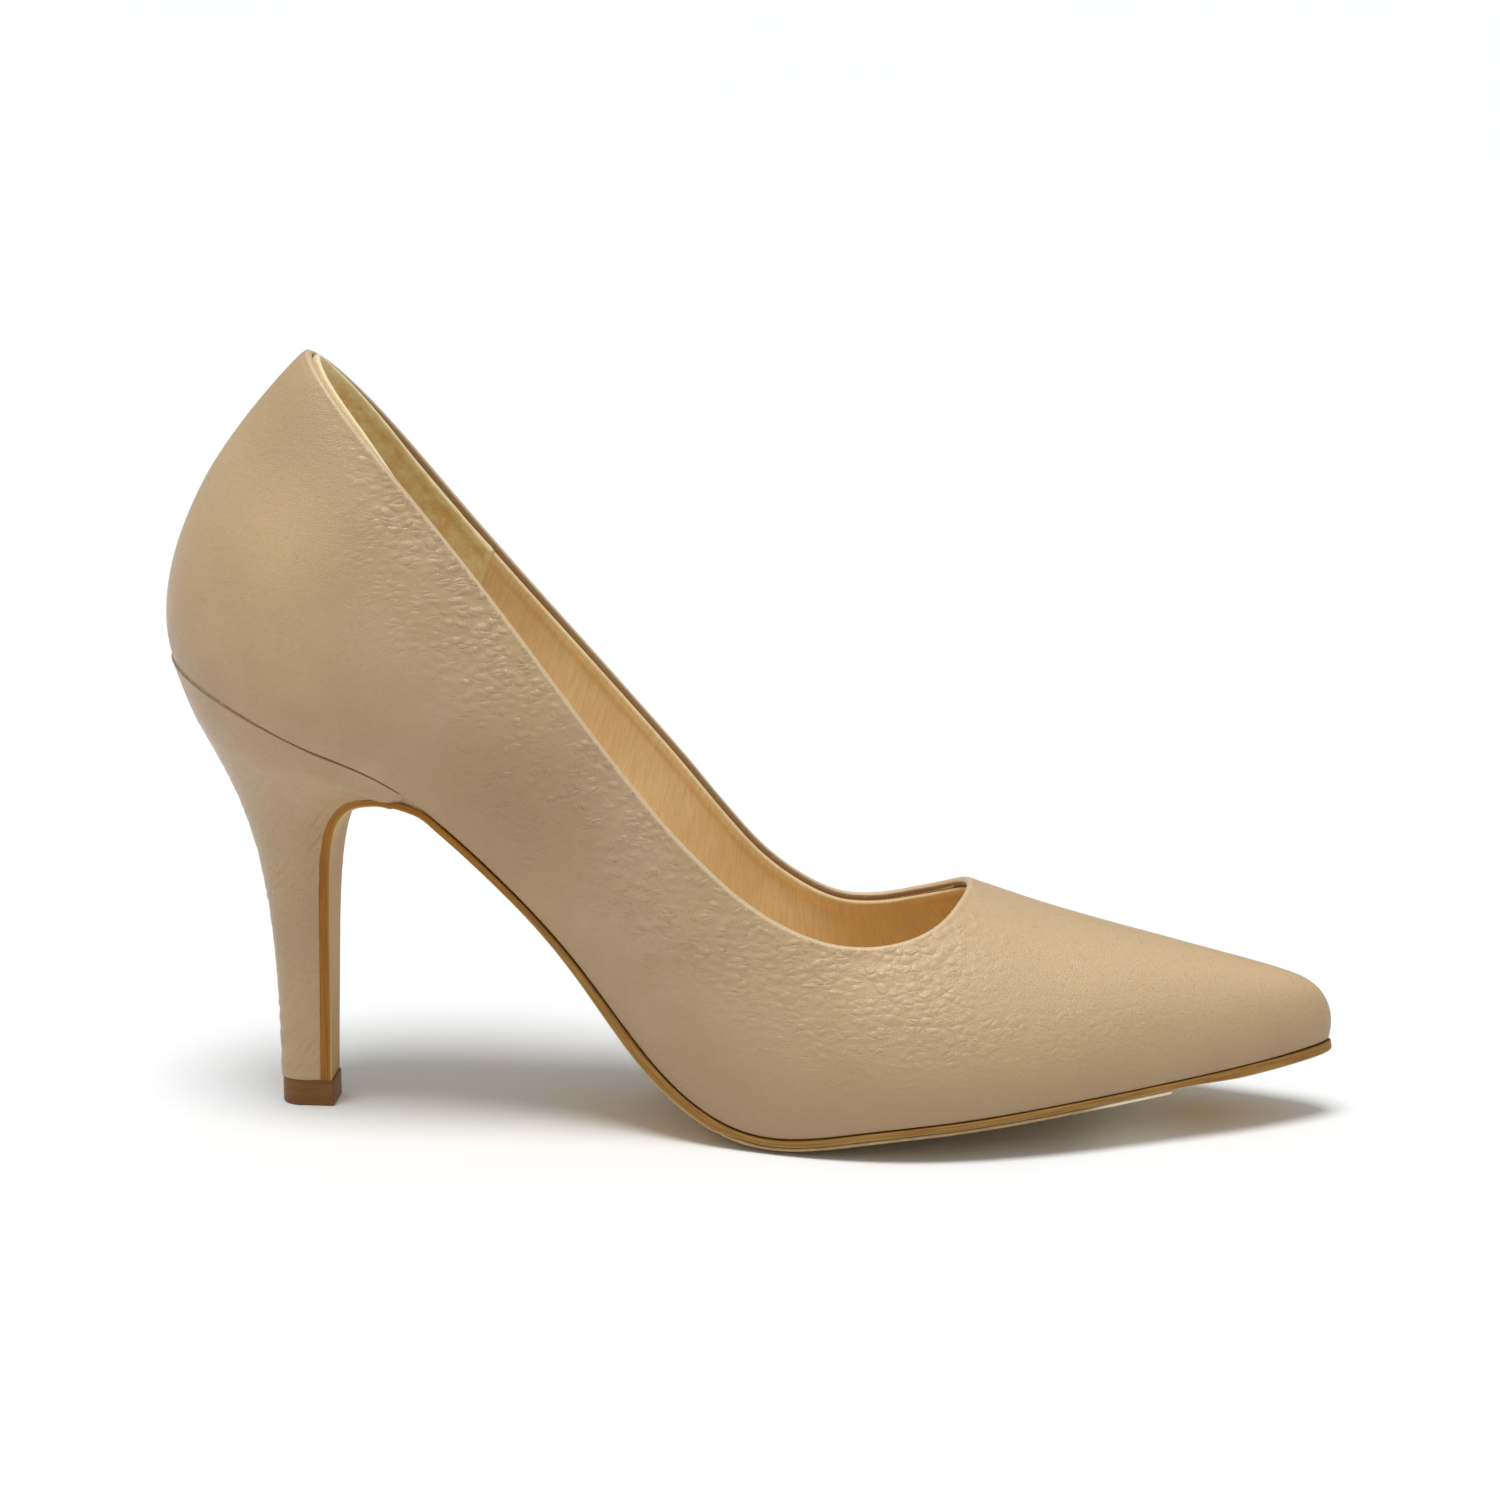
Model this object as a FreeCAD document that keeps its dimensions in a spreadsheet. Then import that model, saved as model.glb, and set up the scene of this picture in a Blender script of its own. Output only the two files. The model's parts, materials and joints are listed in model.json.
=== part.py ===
import FreeCAD, Part
import Sketcher
import math
import os

# A high heel pump for the right foot, EU 38, with a 90 mm covered stiletto heel.
# Millimetres. +X points to the toe, +Y to the inner (big toe) side and +Z up.
# The origin is the centre of the heel's ground face.
#
# The shoe is built the way it is lasted. A smooth last gives one outer surface, and every soft layer
# (leather, interlining, stiffeners, lining) is a shell between two offsets of it. Every bottom layer
# (insole, pads, filler, outsole) is a plate between two offsets of the last's bottom.

Vector = FreeCAD.Vector

doc = FreeCAD.newDocument("pump")

# ---------------------------------------------------------------- driving dimensions

DIMENSIONS = [
    ("leather_gauge", 1.1, "upper leather"),
    ("interlining_gauge", 0.8, "interlining, heel counter and toe puff"),
    ("lining_gauge", 0.7, "lining leather and suede heel grip"),
    ("lasting_margin", 12.0, "upper turned in under the insole"),
    ("topline_fold", 5.0, "depth of the tape inside the folded topline"),
    ("insole_gauge", 1.5, "insole board"),
    ("foam_gauge", 1.6, "forefoot pad and shank board"),
    ("heel_pad_rise", 1.5, "heel pad under the sock"),
    ("sock_gauge", 0.7, "sock lining"),
    ("sole_gauge", 2.3, "outsole edge at the waist"),
    ("skived_gauge", 1.5, "outsole ahead of the waist, over and past the tread"),
    ("sole_reach", 0.4, "outsole edge proud of the upper"),
    ("forefoot_sag", 1.3, "crown of the tread across the ball"),
    ("cover_gauge", 0.8, "leather wrapped round the heel"),
    ("heel_axis", 26.6, "centre of the heel's ground face from the back of the seat"),
    ("seat_height", 94.0, "seat plane's height over the back of the seat"),
    ("seat_slope", 0.48, "fall of the seat plane per millimetre of length"),
    ("shank_width", 10.0, "steel shank"),
    ("shank_gauge", 1.0, "steel shank"),
    ("toppiece_length", 11.2, "heel top piece, front to back"),
    ("toppiece_width", 9.2, "heel top piece, side to side"),
    ("toppiece_height", 5.5, "heel top piece"),
    ("toppiece_corner", 0.5, "rounded edge at the ground"),
    ("pin_radius", 1.5, "steel pin moulded into the top piece"),
    ("pin_length", 16.0, "steel pin"),
    ("dowel_radius", 2.5, "steel tube in the heel's stem"),
    ("dowel_bore", 1.55, "bore of that tube, a drive fit for the pin"),
    ("dowel_length", 52.0, "steel tube"),
    ("screw_radius", 2.0, "heel screw's shank"),
    ("screw_length", 22.0, "heel screw under its head"),
    ("screw_head", 4.2, "heel screw's head radius"),
    ("screw_head_rise", 1.2, "heel screw's head height"),
    ("nail_radius", 0.9, "heel nails"),
    ("nail_length", 15.0, "heel nails"),
    ("nail_head", 2.0, "heel nail's head radius"),
    ("nail_head_rise", 0.6, "heel nail's head height"),
    ("tack_radius", 0.5, "seat tacks"),
    ("tack_length", 2.3, "seat tacks"),
    ("rivet_radius", 1.6, "shank rivets"),
    ("rivet_length", 3.6, "shank rivet under its head"),
    ("rivet_head", 2.8, "shank rivet's head radius"),
    ("rivet_head_rise", 0.5, "shank rivet's head height"),
]

sheet = doc.addObject("Spreadsheet::Sheet", "dims")
for row, (alias, value, meaning) in enumerate(DIMENSIONS, start=1):
    sheet.set("A%d" % row, alias)
    sheet.set("B%d" % row, str(value))
    sheet.set("C%d" % row, meaning)
    sheet.setAlias("B%d" % row, alias)
doc.recompute()


def dim(alias):
    return float(getattr(sheet, alias))


HEEL_AXIS = dim("heel_axis")

# ---------------------------------------------------------------- the last
#
# One line per station round half of the last, from the back of the heel (0) to the toe tip (16).
# Lengths are measured from the back of the seat. Each station is a rib with four control points:
#   feather  the bottom edge, with its own width on the outer and the inner side
#   wall     how far the rib leaves the feather forwards, upwards and outwards
#   crown    how far, forwards, outwards and upwards, the rib arrives at the ridge
#   ridge    the top centre line: the toe's ridge and, above the opening, the instep of the last
#
#   feather x, outer y, inner y, z | wall dx, dz, out | ridge x, z | crown dx, out, dz

STATIONS = [
    (1.2, 0.0, 0.0, 93.4, -5.0, 12.0, 0.0, 57.5, 176.0, -54.7, 0.0, -34.0),
    (3.2, -9.0, 9.0, 92.5, -4.4, 12.5, 1.8, 58.5, 174.0, -49.5, 13.0, -31.0),
    (9.0, -17.0, 17.0, 89.7, -2.2, 13.0, 4.5, 61.0, 170.0, -36.0, 19.0, -22.0),
    (19.0, -22.8, 22.8, 84.9, 3.0, 13.0, 7.5, 68.0, 162.0, -18.0, 21.0, -12.0),
    (32.0, -24.5, 24.5, 78.6, 8.0, 12.5, 7.5, 80.0, 146.0, -6.0, 20.0, -5.0),
    (48.0, -23.0, 23.0, 71.0, 9.5, 11.0, 7.5, 95.0, 124.0, -2.0, 24.0, -2.0),
    (66.0, -21.2, 20.0, 55.5, 9.0, 10.0, 8.0, 109.0, 102.0, 0.0, 28.5, 0.0),
    (84.0, -20.2, 17.5, 35.5, 8.5, 10.0, 9.0, 122.0, 82.0, 0.0, 31.0, 0.0),
    (101.0, -22.3, 17.5, 13.8, 7.0, 11.0, 8.5, 133.0, 68.0, 0.0, 31.5, 0.0),
    (120.0, -28.5, 22.0, 3.4, 4.0, 11.0, 6.0, 142.5, 59.0, 0.0, 29.0, 0.0),
    (141.0, -33.3, 29.5, 5.6, 1.5, 10.5, 4.5, 151.5, 52.8, 0.0, 26.0, 0.0),
    (161.0, -32.3, 33.0, 8.3, 0.0, 9.5, 3.2, 161.0, 48.6, 0.0, 23.0, 0.0),
    (181.0, -26.0, 31.0, 10.5, 0.0, 8.5, 2.4, 179.0, 42.8, 0.0, 18.5, 0.0),
    (200.0, -17.0, 25.0, 12.3, 0.0, 7.5, 2.0, 198.0, 37.6, 0.0, 14.0, 0.0),
    (217.0, -8.0, 17.8, 14.0, 0.0, 6.6, 1.6, 213.5, 33.5, 0.6, 9.4, -0.2),
    (229.0, 0.0, 12.0, 15.3, 0.9, 6.0, 1.0, 223.0, 30.9, 3.8, 5.2, -1.1),
    (233.9, 6.0, 6.0, 16.0, 1.3, 5.6, 0.0, 225.8, 30.0, 7.8, 0.0, -2.3),
]
TIP = len(STATIONS) - 1
ROUND = 2 * TIP
TOE_SWING = 6.0

# The opening's edge, seen from the side: length, height on the outer side, height on the inner side.
TOPLINE = [
    (27.0, 157.4, 157.4),
    (30.0, 154.3, 154.0),
    (38.0, 145.2, 144.7),
    (54.0, 127.0, 124.6),
    (70.0, 107.3, 105.3),
    (90.0, 80.8, 82.5),
    (102.0, 65.8, 68.8),
    (110.0, 57.4, 59.1),
    (118.0, 50.3, 50.3),
    (126.0, 45.3, 44.4),
    (134.0, 42.2, 41.0),
    (142.0, 41.3, 40.9),
    (150.0, 42.3, 42.9),
    (156.0, 44.6, 45.3),
    (161.0, 48.6, 48.6),
]
THROAT = 11.0       # station at which the opening ends on the ridge
VAMP_FOOT = 13.5    # station where the line from the throat meets the feather
PUFF_EDGE = 14.2    # station behind which the toe puff stops
COUNTER_EDGE = 5.0  # station where the heel counter stops
GRIP_EDGE = 4.6     # station of the seam between heel grip and lining


def ridge_swing(x):
    """Sideways bend of the ridge towards the big toe."""
    share = min(max((x - 120.0) / 114.0, 0.0), 1.0)
    return TOE_SWING * share ** 1.6


def rib_points(station, side):
    x, outer, inner, z, wall_dx, wall_dz, wall_out, ridge_x, ridge_z, crown_dx, crown_out, crown_dz = station
    y = outer if side < 0 else inner
    ridge_y = ridge_swing(ridge_x)
    return (
        Vector(x, y, z),
        Vector(x + wall_dx, y + side * wall_out, z + wall_dz),
        Vector(ridge_x + crown_dx, ridge_y + side * crown_out, ridge_z + crown_dz),
        Vector(ridge_x, ridge_y, ridge_z),
    )


def closed_poles(points):
    """Control points of the closed uniform cubic B-spline that passes through the points."""
    count = len(points)
    poles = list(points)
    for _ in range(50):
        poles = [
            points[i] - (poles[i - 1] - poles[i] * 2 + poles[(i + 1) % count]) * (1.0 / 6.0)
            for i in range(count)
        ]
    return poles


def cubic_weights(f):
    return (
        (1 - f) ** 3 / 6.0,
        (3 * f ** 3 - 6 * f ** 2 + 4) / 6.0,
        (-3 * f ** 3 + 3 * f ** 2 + 3 * f + 1) / 6.0,
        f ** 3 / 6.0,
    )


def on_ring(poles, station):
    """Point of a closed ring at a station; 0 to 16 is the outer side, 16 to 32 the inner side back."""
    whole = math.floor(station)
    total = Vector(0, 0, 0)
    for step, weight in enumerate(cubic_weights(station - whole)):
        total = total + poles[(whole + step - 1) % ROUND] * weight
    return total


RIBS = [rib_points(station, -1) for station in STATIONS]
RIBS += [rib_points(STATIONS[i], 1) for i in range(TIP - 1, 0, -1)]
RINGS = [closed_poles([rib[i] for rib in RIBS]) for i in range(4)]


def last_point(station, rise):
    """Point of the last: rise runs from 0 at the feather to 1 at the ridge."""
    feather, wall, crown, ridge = (on_ring(ring, station) for ring in RINGS)
    fall = 1.0 - rise
    return (feather * fall ** 3 + wall * (3 * fall ** 2 * rise)
            + crown * (3 * fall * rise ** 2) + ridge * rise ** 3)


def last_normal(station, rise):
    """Outward normal of the last. On the ridge it has no sideways part."""
    if rise > 0.999:
        near = station % ROUND
        near = ROUND - near if near > TIP else near
        ahead = on_ring(RINGS[3], min(near, 14.5) + 0.05)
        behind = on_ring(RINGS[3], min(near, 14.5) - 0.05)
        along = ahead - behind
        return Vector(-along.z, 0, along.x).normalize()
    low = max(rise - 0.01, 0.0)
    high = min(rise + 0.01, 0.999)
    around = last_point(station + 0.02, rise) - last_point(station - 0.02, rise)
    upward = last_point(station, high) - last_point(station, low)
    return around.cross(upward).normalize()


def layer_point(station, rise, depth):
    """Point under the last's outer surface by a depth, in the model's frame."""
    point = last_point(station, rise) - last_normal(station, rise) * depth
    return point - Vector(HEEL_AXIS, 0, 0)


def smooth_through(table, x, column):
    """Catmull-Rom value of a table's column at x."""
    last_span = len(table) - 2
    span = 0
    while span < last_span and x > table[span + 1][0]:
        span += 1
    x0, x1 = table[span][0], table[span + 1][0]
    y0, y1 = table[span][column], table[span + 1][column]
    step = x1 - x0

    def slope(i):
        a, b = max(i - 1, 0), min(i + 1, len(table) - 1)
        return (table[b][column] - table[a][column]) / (table[b][0] - table[a][0])

    f = min(max((x - x0) / step, 0.0), 1.0)
    return (y0 * (2 * f ** 3 - 3 * f ** 2 + 1) + slope(span) * step * (f ** 3 - 2 * f ** 2 + f)
            + y1 * (3 * f ** 2 - 2 * f ** 3) + slope(span + 1) * step * (f ** 3 - f ** 2))


def topline_rise(station):
    """Rise at which a rib crosses the opening's edge: 1 at and ahead of the throat."""
    station = station % ROUND
    side_column = 1 if station <= TIP else 2
    near = station if station <= TIP else ROUND - station
    if near >= THROAT:
        return 1.0
    low, high = 0.25, 1.0
    for _ in range(40):
        middle = (low + high) / 2
        point = last_point(station, middle)
        if point.z < smooth_through(TOPLINE, point.x, side_column):
            low = middle
        else:
            high = middle
    return low


def bottom_normal(station):
    """Upward normal of the last's bottom, in the lengthwise plane."""
    near = min(max(station, 0.4), TIP - 0.4)
    ahead = (on_ring(RINGS[0], near + 0.1) + on_ring(RINGS[0], ROUND - near - 0.1)) * 0.5
    behind = (on_ring(RINGS[0], near - 0.1) + on_ring(RINGS[0], ROUND - near + 0.1)) * 0.5
    along = ahead - behind
    return Vector(-along.z, 0, along.x).normalize()


def rise_at_height(station, height):
    """Rise at which a rib stands a height above the last's bottom."""
    near = station % ROUND
    near = near if near <= TIP else ROUND - near
    normal = bottom_normal(near)
    foot = last_point(station, 0.0)
    low, high = 0.0, 0.6
    for _ in range(30):
        middle = (low + high) / 2
        if (last_point(station, middle) - foot).dot(normal) < height:
            low = middle
        else:
            high = middle
    return low


def spread(start, end, count):
    return [start + (end - start) * i / (count - 1.0) for i in range(count)]


# ---------------------------------------------------------------- surfaces and solids


def spline_poles(points):
    """Control points, knots and multiplicities of the cubic through evenly timed points."""
    curve = Part.BSplineCurve()
    curve.interpolate(Points=points, Parameters=[float(i) for i in range(len(points))])
    return curve.getPoles(), curve.getKnots(), curve.getMultiplicities(), curve.Degree


def skin(grid):
    """Face through a grid of points. Faces that share a row of points share that edge exactly."""
    rows = [spline_poles([column[j] for column in grid]) for j in range(len(grid[0]))]
    u_knots, u_mults, u_degree = rows[0][1], rows[0][2], rows[0][3]
    across = [[row[0][i] for row in rows] for i in range(len(rows[0][0]))]
    if len(rows) == 2:
        poles, v_knots, v_mults, v_degree = across, [0.0, 1.0], [2, 2], 1
    else:
        columns = [spline_poles(points) for points in across]
        poles = [column[0] for column in columns]
        v_knots, v_mults, v_degree = columns[0][1], columns[0][2], columns[0][3]
    surface = Part.BSplineSurface()
    surface.buildFromPolesMultsKnots(poles, u_mults, v_mults, u_knots, v_knots,
                                     False, False, u_degree, v_degree)
    return surface.toShape()


def rim(edge_a, edge_b):
    """Straight-across face between two rows of points."""
    return skin([[a, b] for a, b in zip(edge_a, edge_b)])


def sewn(faces):
    """Closed solid from faces that meet edge to edge."""
    shell = Part.Compound(faces)
    shell.sewShape(0.001)
    solid = Part.Solid(shell.Shells[0])
    if solid.Volume < 0:
        solid.reverse()
    return solid


def between(first, second):
    """Solid between two grids that correspond point by point, with four straight rims."""
    faces = [skin(first), skin(second)]
    faces.append(rim(first[0], second[0]))
    faces.append(rim(first[-1], second[-1]))
    faces.append(rim([column[0] for column in first], [column[0] for column in second]))
    faces.append(rim([column[-1] for column in first], [column[-1] for column in second]))
    return sewn(faces)


def add_shape(label, shape):
    """A sub-part that neither a body nor a primitive fits."""
    feature = doc.addObject("Part::Feature", label)
    feature.Label = label
    feature.Shape = shape
    feature.Placement = FreeCAD.Placement()
    return feature


# ---------------------------------------------------------------- wall layers

LEATHER = dim("leather_gauge")
INTERLINING = dim("interlining_gauge")
LINING = dim("lining_gauge")
SLIP = 0.03    # glue line between neighbouring layers
STACK_TOP = LEATHER + dim("insole_gauge") + dim("foam_gauge") + 5 * SLIP
MIDDLE_LAYER = (LEATHER + SLIP, LEATHER + INTERLINING)
INNER_LAYER = (MIDDLE_LAYER[1] + SLIP, MIDDLE_LAYER[1] + LINING)


def quarter_stations(q):
    """Feather and topline stations of a rib; q runs from 0, the outer throat, by 1, the back, to 2."""
    share = q if q <= 1.0 else 2.0 - q
    eased = 1.15 * share * share / (share + 0.15)
    foot = VAMP_FOOT * (1.0 - share)
    top = THROAT * (1.0 - eased)
    if q > 1.0:
        return ROUND - foot, ROUND - top
    return foot, top


def q_at_foot(station):
    """The q whose rib stands on a station of the outer side."""
    return 1.0 - station / VAMP_FOOT


def quarter_grid(depth, q_range=(0.0, 2.0), foot_height=0.0, top_drop=0.0, bottom_drop=None, counts=(61, 9)):
    """Points of a wall layer behind the throat. Drops are measured down the rib from the topline."""
    grid = []
    for q in spread(q_range[0], q_range[1], counts[0]):
        foot, top = quarter_stations(q)
        top_rise = topline_rise(top)
        per_rise = (last_point(top, top_rise) - last_point(top, top_rise - 0.02)).Length / 0.02
        high = top_rise - top_drop / per_rise
        low = rise_at_height(foot, foot_height) if foot_height > 0 else 0.0
        if bottom_drop is not None:
            low = top_rise - bottom_drop / per_rise
            foot = top
        column = []
        for v in spread(0.0, 1.0, counts[1]):
            column.append(layer_point(foot + (top - foot) * v, low + (high - low) * v, depth))
        grid.append(column)
    return grid


def vamp_grid(side, depth, foot_height=0.0, rear=None, front=TIP, counts=(19, 9)):
    """Points of a wall layer ahead of the throat, from the feather to the ridge, on one side."""
    columns = []
    for u in spread(0.0, 1.0, counts[0]):
        column = []
        for v in spread(0.0, 1.0, counts[1]):
            start = VAMP_FOOT + (THROAT - VAMP_FOOT) * v if rear is None else rear
            station = start + (front - start) * u
            foot = (VAMP_FOOT if rear is None else rear) * (1 - u) + front * u
            signed = station if side < 0 else ROUND - station
            low = rise_at_height(foot if side < 0 else ROUND - foot, foot_height) if foot_height > 0 else 0.0
            column.append(layer_point(signed, low + (1.0 - low) * v, depth))
        columns.append(column)
    return columns


def rims_along(first, second, sides):
    """Rims of two matching grids on the named sides."""
    faces = []
    if "start" in sides:
        faces.append(rim(first[0], second[0]))
    if "end" in sides:
        faces.append(rim(first[-1], second[-1]))
    if "foot" in sides:
        faces.append(rim([column[0] for column in first], [column[0] for column in second]))
    if "top" in sides:
        faces.append(rim([column[-1] for column in first], [column[-1] for column in second]))
    return faces


def wall_layer(depths, foot_height, q_ranges, vamp_rear, vamp_front, rims):
    """Wall layer of quarter patches and two vamp patches that meet on the ridge."""
    faces = []
    for q_range in q_ranges:
        grids = [quarter_grid(depth, q_range, foot_height) for depth in depths]
        faces += [skin(grids[0]), skin(grids[1])] + rims_along(grids[0], grids[1], rims[q_range])
    for side in (-1, 1):
        grids = [vamp_grid(side, depth, foot_height, vamp_rear, vamp_front) for depth in depths]
        faces += [skin(grids[0]), skin(grids[1])] + rims_along(grids[0], grids[1], rims["vamp"])
    return sewn(faces)


# ---------------------------------------------------------------- bottom plates


def sag(near):
    """Crown of the bottom across its width, greatest at the ball."""
    rise = min(max((near - 7.0) / 2.5, 0.0), 1.0)
    fade = min(max((15.0 - near) / 5.0, 0.0), 1.0)
    return dim("forefoot_sag") * (3 * rise ** 2 - 2 * rise ** 3) * (3 * fade ** 2 - 2 * fade ** 3)


def feather_inset(station, inset):
    """Point of the feather line moved in along the bottom, square to the outline."""
    ahead = on_ring(RINGS[0], station + 0.05)
    behind = on_ring(RINGS[0], station - 0.05)
    along = Vector(ahead.x - behind.x, ahead.y - behind.y, 0).normalize()
    outward = Vector(along.y, -along.x, 0)
    near = station % ROUND
    normal = bottom_normal(near if near <= TIP else ROUND - near)
    point = on_ring(RINGS[0], station) - outward * inset
    point.z += outward.x * inset * normal.x / normal.z
    return point


def across_bottom(near, inset, height, count=7):
    """Row of points across the bottom from the outer to the inner edge."""
    outer = feather_inset(near, inset)
    inner = feather_inset(ROUND - near, inset)
    normal = bottom_normal(near)
    row = []
    for t in spread(0.0, 1.0, count):
        point = outer + (inner - outer) * t
        row.append(point + normal * (height - sag(near) * 4 * t * (1 - t)) - Vector(HEEL_AXIS, 0, 0))
    return row


def plate(stations, inset, low, high):
    """Bottom layer between two heights. Insets and heights are numbers or functions of the station."""
    def at(value, near):
        return value(near) if callable(value) else value
    lower = [across_bottom(s, at(inset, s), at(low, s)) for s in stations]
    upper = [across_bottom(s, at(inset, s), at(high, s)) for s in stations]
    return between(lower, upper)


# ---------------------------------------------------------------- upper


def spine(station):
    """Point of the bottom's centre line that a margin is folded towards."""
    near = station if station <= TIP else ROUND - station
    near = min(max(near, 3.0), 13.8)
    return (on_ring(RINGS[0], near) + on_ring(RINGS[0], ROUND - near)) * 0.5


def margin_point(station, share, height):
    """Point of the lasting margin: share runs from 0 at the feather to 1 at its cut edge."""
    station = station % ROUND
    near = station if station <= TIP else ROUND - station
    foot = on_ring(RINGS[0], station)
    reach = min(dim("lasting_margin") / (spine(station) - foot).Length, 0.6) * share
    point = foot + (spine(station) - foot) * reach
    point = point + bottom_normal(near) * (height - sag(near) * reach * (2 - reach))
    return point - Vector(HEEL_AXIS, 0, 0)


def make_upper():
    """Leather from the topline or the ridge down to the feather and in under the insole."""
    def margin_faces(feet):
        inner_feet = [rise_at_height(foot, LEATHER) for foot in feet]
        foot_inside = [layer_point(foot, rise, LEATHER) for foot, rise in zip(feet, inner_feet)]
        below = [[margin_point(foot, share, 0.0) for share in (0.0, 0.33, 0.67, 1.0)] for foot in feet]
        above = []
        for foot, corner in zip(feet, foot_inside):
            cut_edge = margin_point(foot, 1.0, LEATHER)
            above.append([corner + (cut_edge - corner) * share for share in (0.0, 0.33, 0.67, 1.0)])
        return [skin(below), skin(above), rim([row[-1] for row in below], [row[-1] for row in above])]

    outer = quarter_grid(0.0)
    inner = quarter_grid(LEATHER, foot_height=LEATHER)
    feet = [quarter_stations(q)[0] for q in spread(0.0, 2.0, len(outer))]
    faces = [skin(outer), skin(inner)] + rims_along(outer, inner, ("top",))
    faces += margin_faces(feet)
    for side in (-1, 1):
        outer = vamp_grid(side, 0.0)
        inner = vamp_grid(side, LEATHER, foot_height=LEATHER)
        feet = spread(VAMP_FOOT, TIP, len(outer))
        feet = feet if side < 0 else [ROUND - foot for foot in feet]
        faces += [skin(outer), skin(inner)] + margin_faces(feet)
    return sewn(faces)


# ---------------------------------------------------------------- lining, stiffeners, tape

GRIP_Q = q_at_foot(GRIP_EDGE)
COUNTER_Q = q_at_foot(COUNTER_EDGE)
SEAM_GAP = 0.004    # share of the quarter left open at a butt seam


def make_lining():
    """Quarter and vamp lining in one piece, open at the back where the heel grip takes over."""
    outer_range = (0.0, GRIP_Q)
    inner_range = (2.0 - GRIP_Q, 2.0)
    rims = {outer_range: ("top", "foot", "end"), inner_range: ("top", "foot", "start"), "vamp": ("foot",)}
    return wall_layer(INNER_LAYER, STACK_TOP, (outer_range, inner_range), None, TIP, rims)


def make_interlining():
    """Cotton interlining from the counter's edges round to the toe puff, below the topline tape."""
    drop = dim("topline_fold")
    solids = []
    for q_range in ((0.0, COUNTER_Q - SEAM_GAP), (2.0 - COUNTER_Q + SEAM_GAP, 2.0)):
        grids = [quarter_grid(depth, q_range, STACK_TOP, drop, counts=(31, 9)) for depth in MIDDLE_LAYER]
        solids.append(between(grids[0], grids[1]))
    return Part.Compound(solids)


def make_vamp_interlining():
    """Cotton interlining of the vamp, from the line at the throat to the toe puff."""
    faces = []
    for side in (-1, 1):
        grids = [vamp_grid(side, depth, STACK_TOP, None, PUFF_EDGE - 0.05) for depth in MIDDLE_LAYER]
        faces += [skin(grids[0]), skin(grids[1])] + rims_along(grids[0], grids[1], ("start", "end", "foot"))
    return sewn(faces)


def make_toe_puff():
    """Thermoplastic stiffener that holds the toe's shape."""
    faces = []
    for side in (-1, 1):
        grids = [vamp_grid(side, depth, STACK_TOP, PUFF_EDGE, TIP, (11, 9)) for depth in MIDDLE_LAYER]
        faces += [skin(grids[0]), skin(grids[1])] + rims_along(grids[0], grids[1], ("start", "foot"))
    return sewn(faces)


def make_counter():
    """Moulded stiffener round the heel."""
    q_range = (COUNTER_Q, 2.0 - COUNTER_Q)
    drop = dim("topline_fold")
    grids = [quarter_grid(depth, q_range, STACK_TOP, drop, counts=(31, 9)) for depth in MIDDLE_LAYER]
    return between(grids[0], grids[1])


def make_heel_grip():
    """Suede heel grip between the two ends of the lining."""
    q_range = (GRIP_Q + SEAM_GAP, 2.0 - GRIP_Q - SEAM_GAP)
    grids = [quarter_grid(depth, q_range, STACK_TOP, counts=(31, 9)) for depth in INNER_LAYER]
    return between(grids[0], grids[1])


def make_topline_tape():
    """Reinforcing tape inside the folded topline, from one side of the throat round to the other."""
    deep = dim("topline_fold") - 0.4
    grids = [
        quarter_grid(depth, (0.06, 1.94), top_drop=1.2, bottom_drop=deep, counts=(71, 3))
        for depth in MIDDLE_LAYER
    ]
    return between(grids[0], grids[1])


# ---------------------------------------------------------------- insole stack

INSOLE_LOW = LEATHER + 2 * SLIP
INSOLE_HIGH = INSOLE_LOW + dim("insole_gauge")
FOAM_LOW = INSOLE_HIGH + SLIP
FOAM_HIGH = FOAM_LOW + dim("foam_gauge")
BOARD_END = 8.4      # station where the stiff rear board stops
PAD_END = 7.2        # station where the heel pad has thinned out
INNER_INSET = INNER_LAYER[1] + 0.3


def pad_rise(near):
    """Thickness of the heel pad: full under the heel, feathered to nothing at the waist."""
    share = min(max((PAD_END - near) / 2.5, 0.0), 1.0)
    return 0.05 + dim("heel_pad_rise") * (3 * share ** 2 - 2 * share ** 3)


def sock_low(near):
    return STACK_TOP + 2 * SLIP + pad_rise(near)


def make_insole_board():
    return plate(spread(0.3, 15.7, 41), LEATHER + 0.15, INSOLE_LOW, INSOLE_HIGH)


def make_shank_board():
    return plate(spread(0.35, BOARD_END, 25), LEATHER + 0.4, FOAM_LOW, FOAM_HIGH)


def make_forefoot_pad():
    return plate(spread(BOARD_END + 0.1, 15.6, 25), LEATHER + 0.4, FOAM_LOW, FOAM_HIGH)


def make_heel_pad():
    return plate(spread(0.8, PAD_END, 19), INNER_INSET + 3.5, STACK_TOP + SLIP,
                 lambda near: STACK_TOP + SLIP + pad_rise(near))


def make_sock():
    """Thin cover the foot stands on, over the pads, edge to edge inside the lining."""
    return plate(spread(0.55, 15.2, 41), INNER_INSET, sock_low,
                 lambda near: sock_low(near) + dim("sock_gauge"))


def make_bottom_filler():
    """Cork filler in the hollow between the lasting margins of the forepart."""
    return plate(spread(8.9, 13.0, 15), lambda near: 13.0 - 0.6 * max(near - 11.0, 0.0), SLIP, LEATHER - SLIP)


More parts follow.
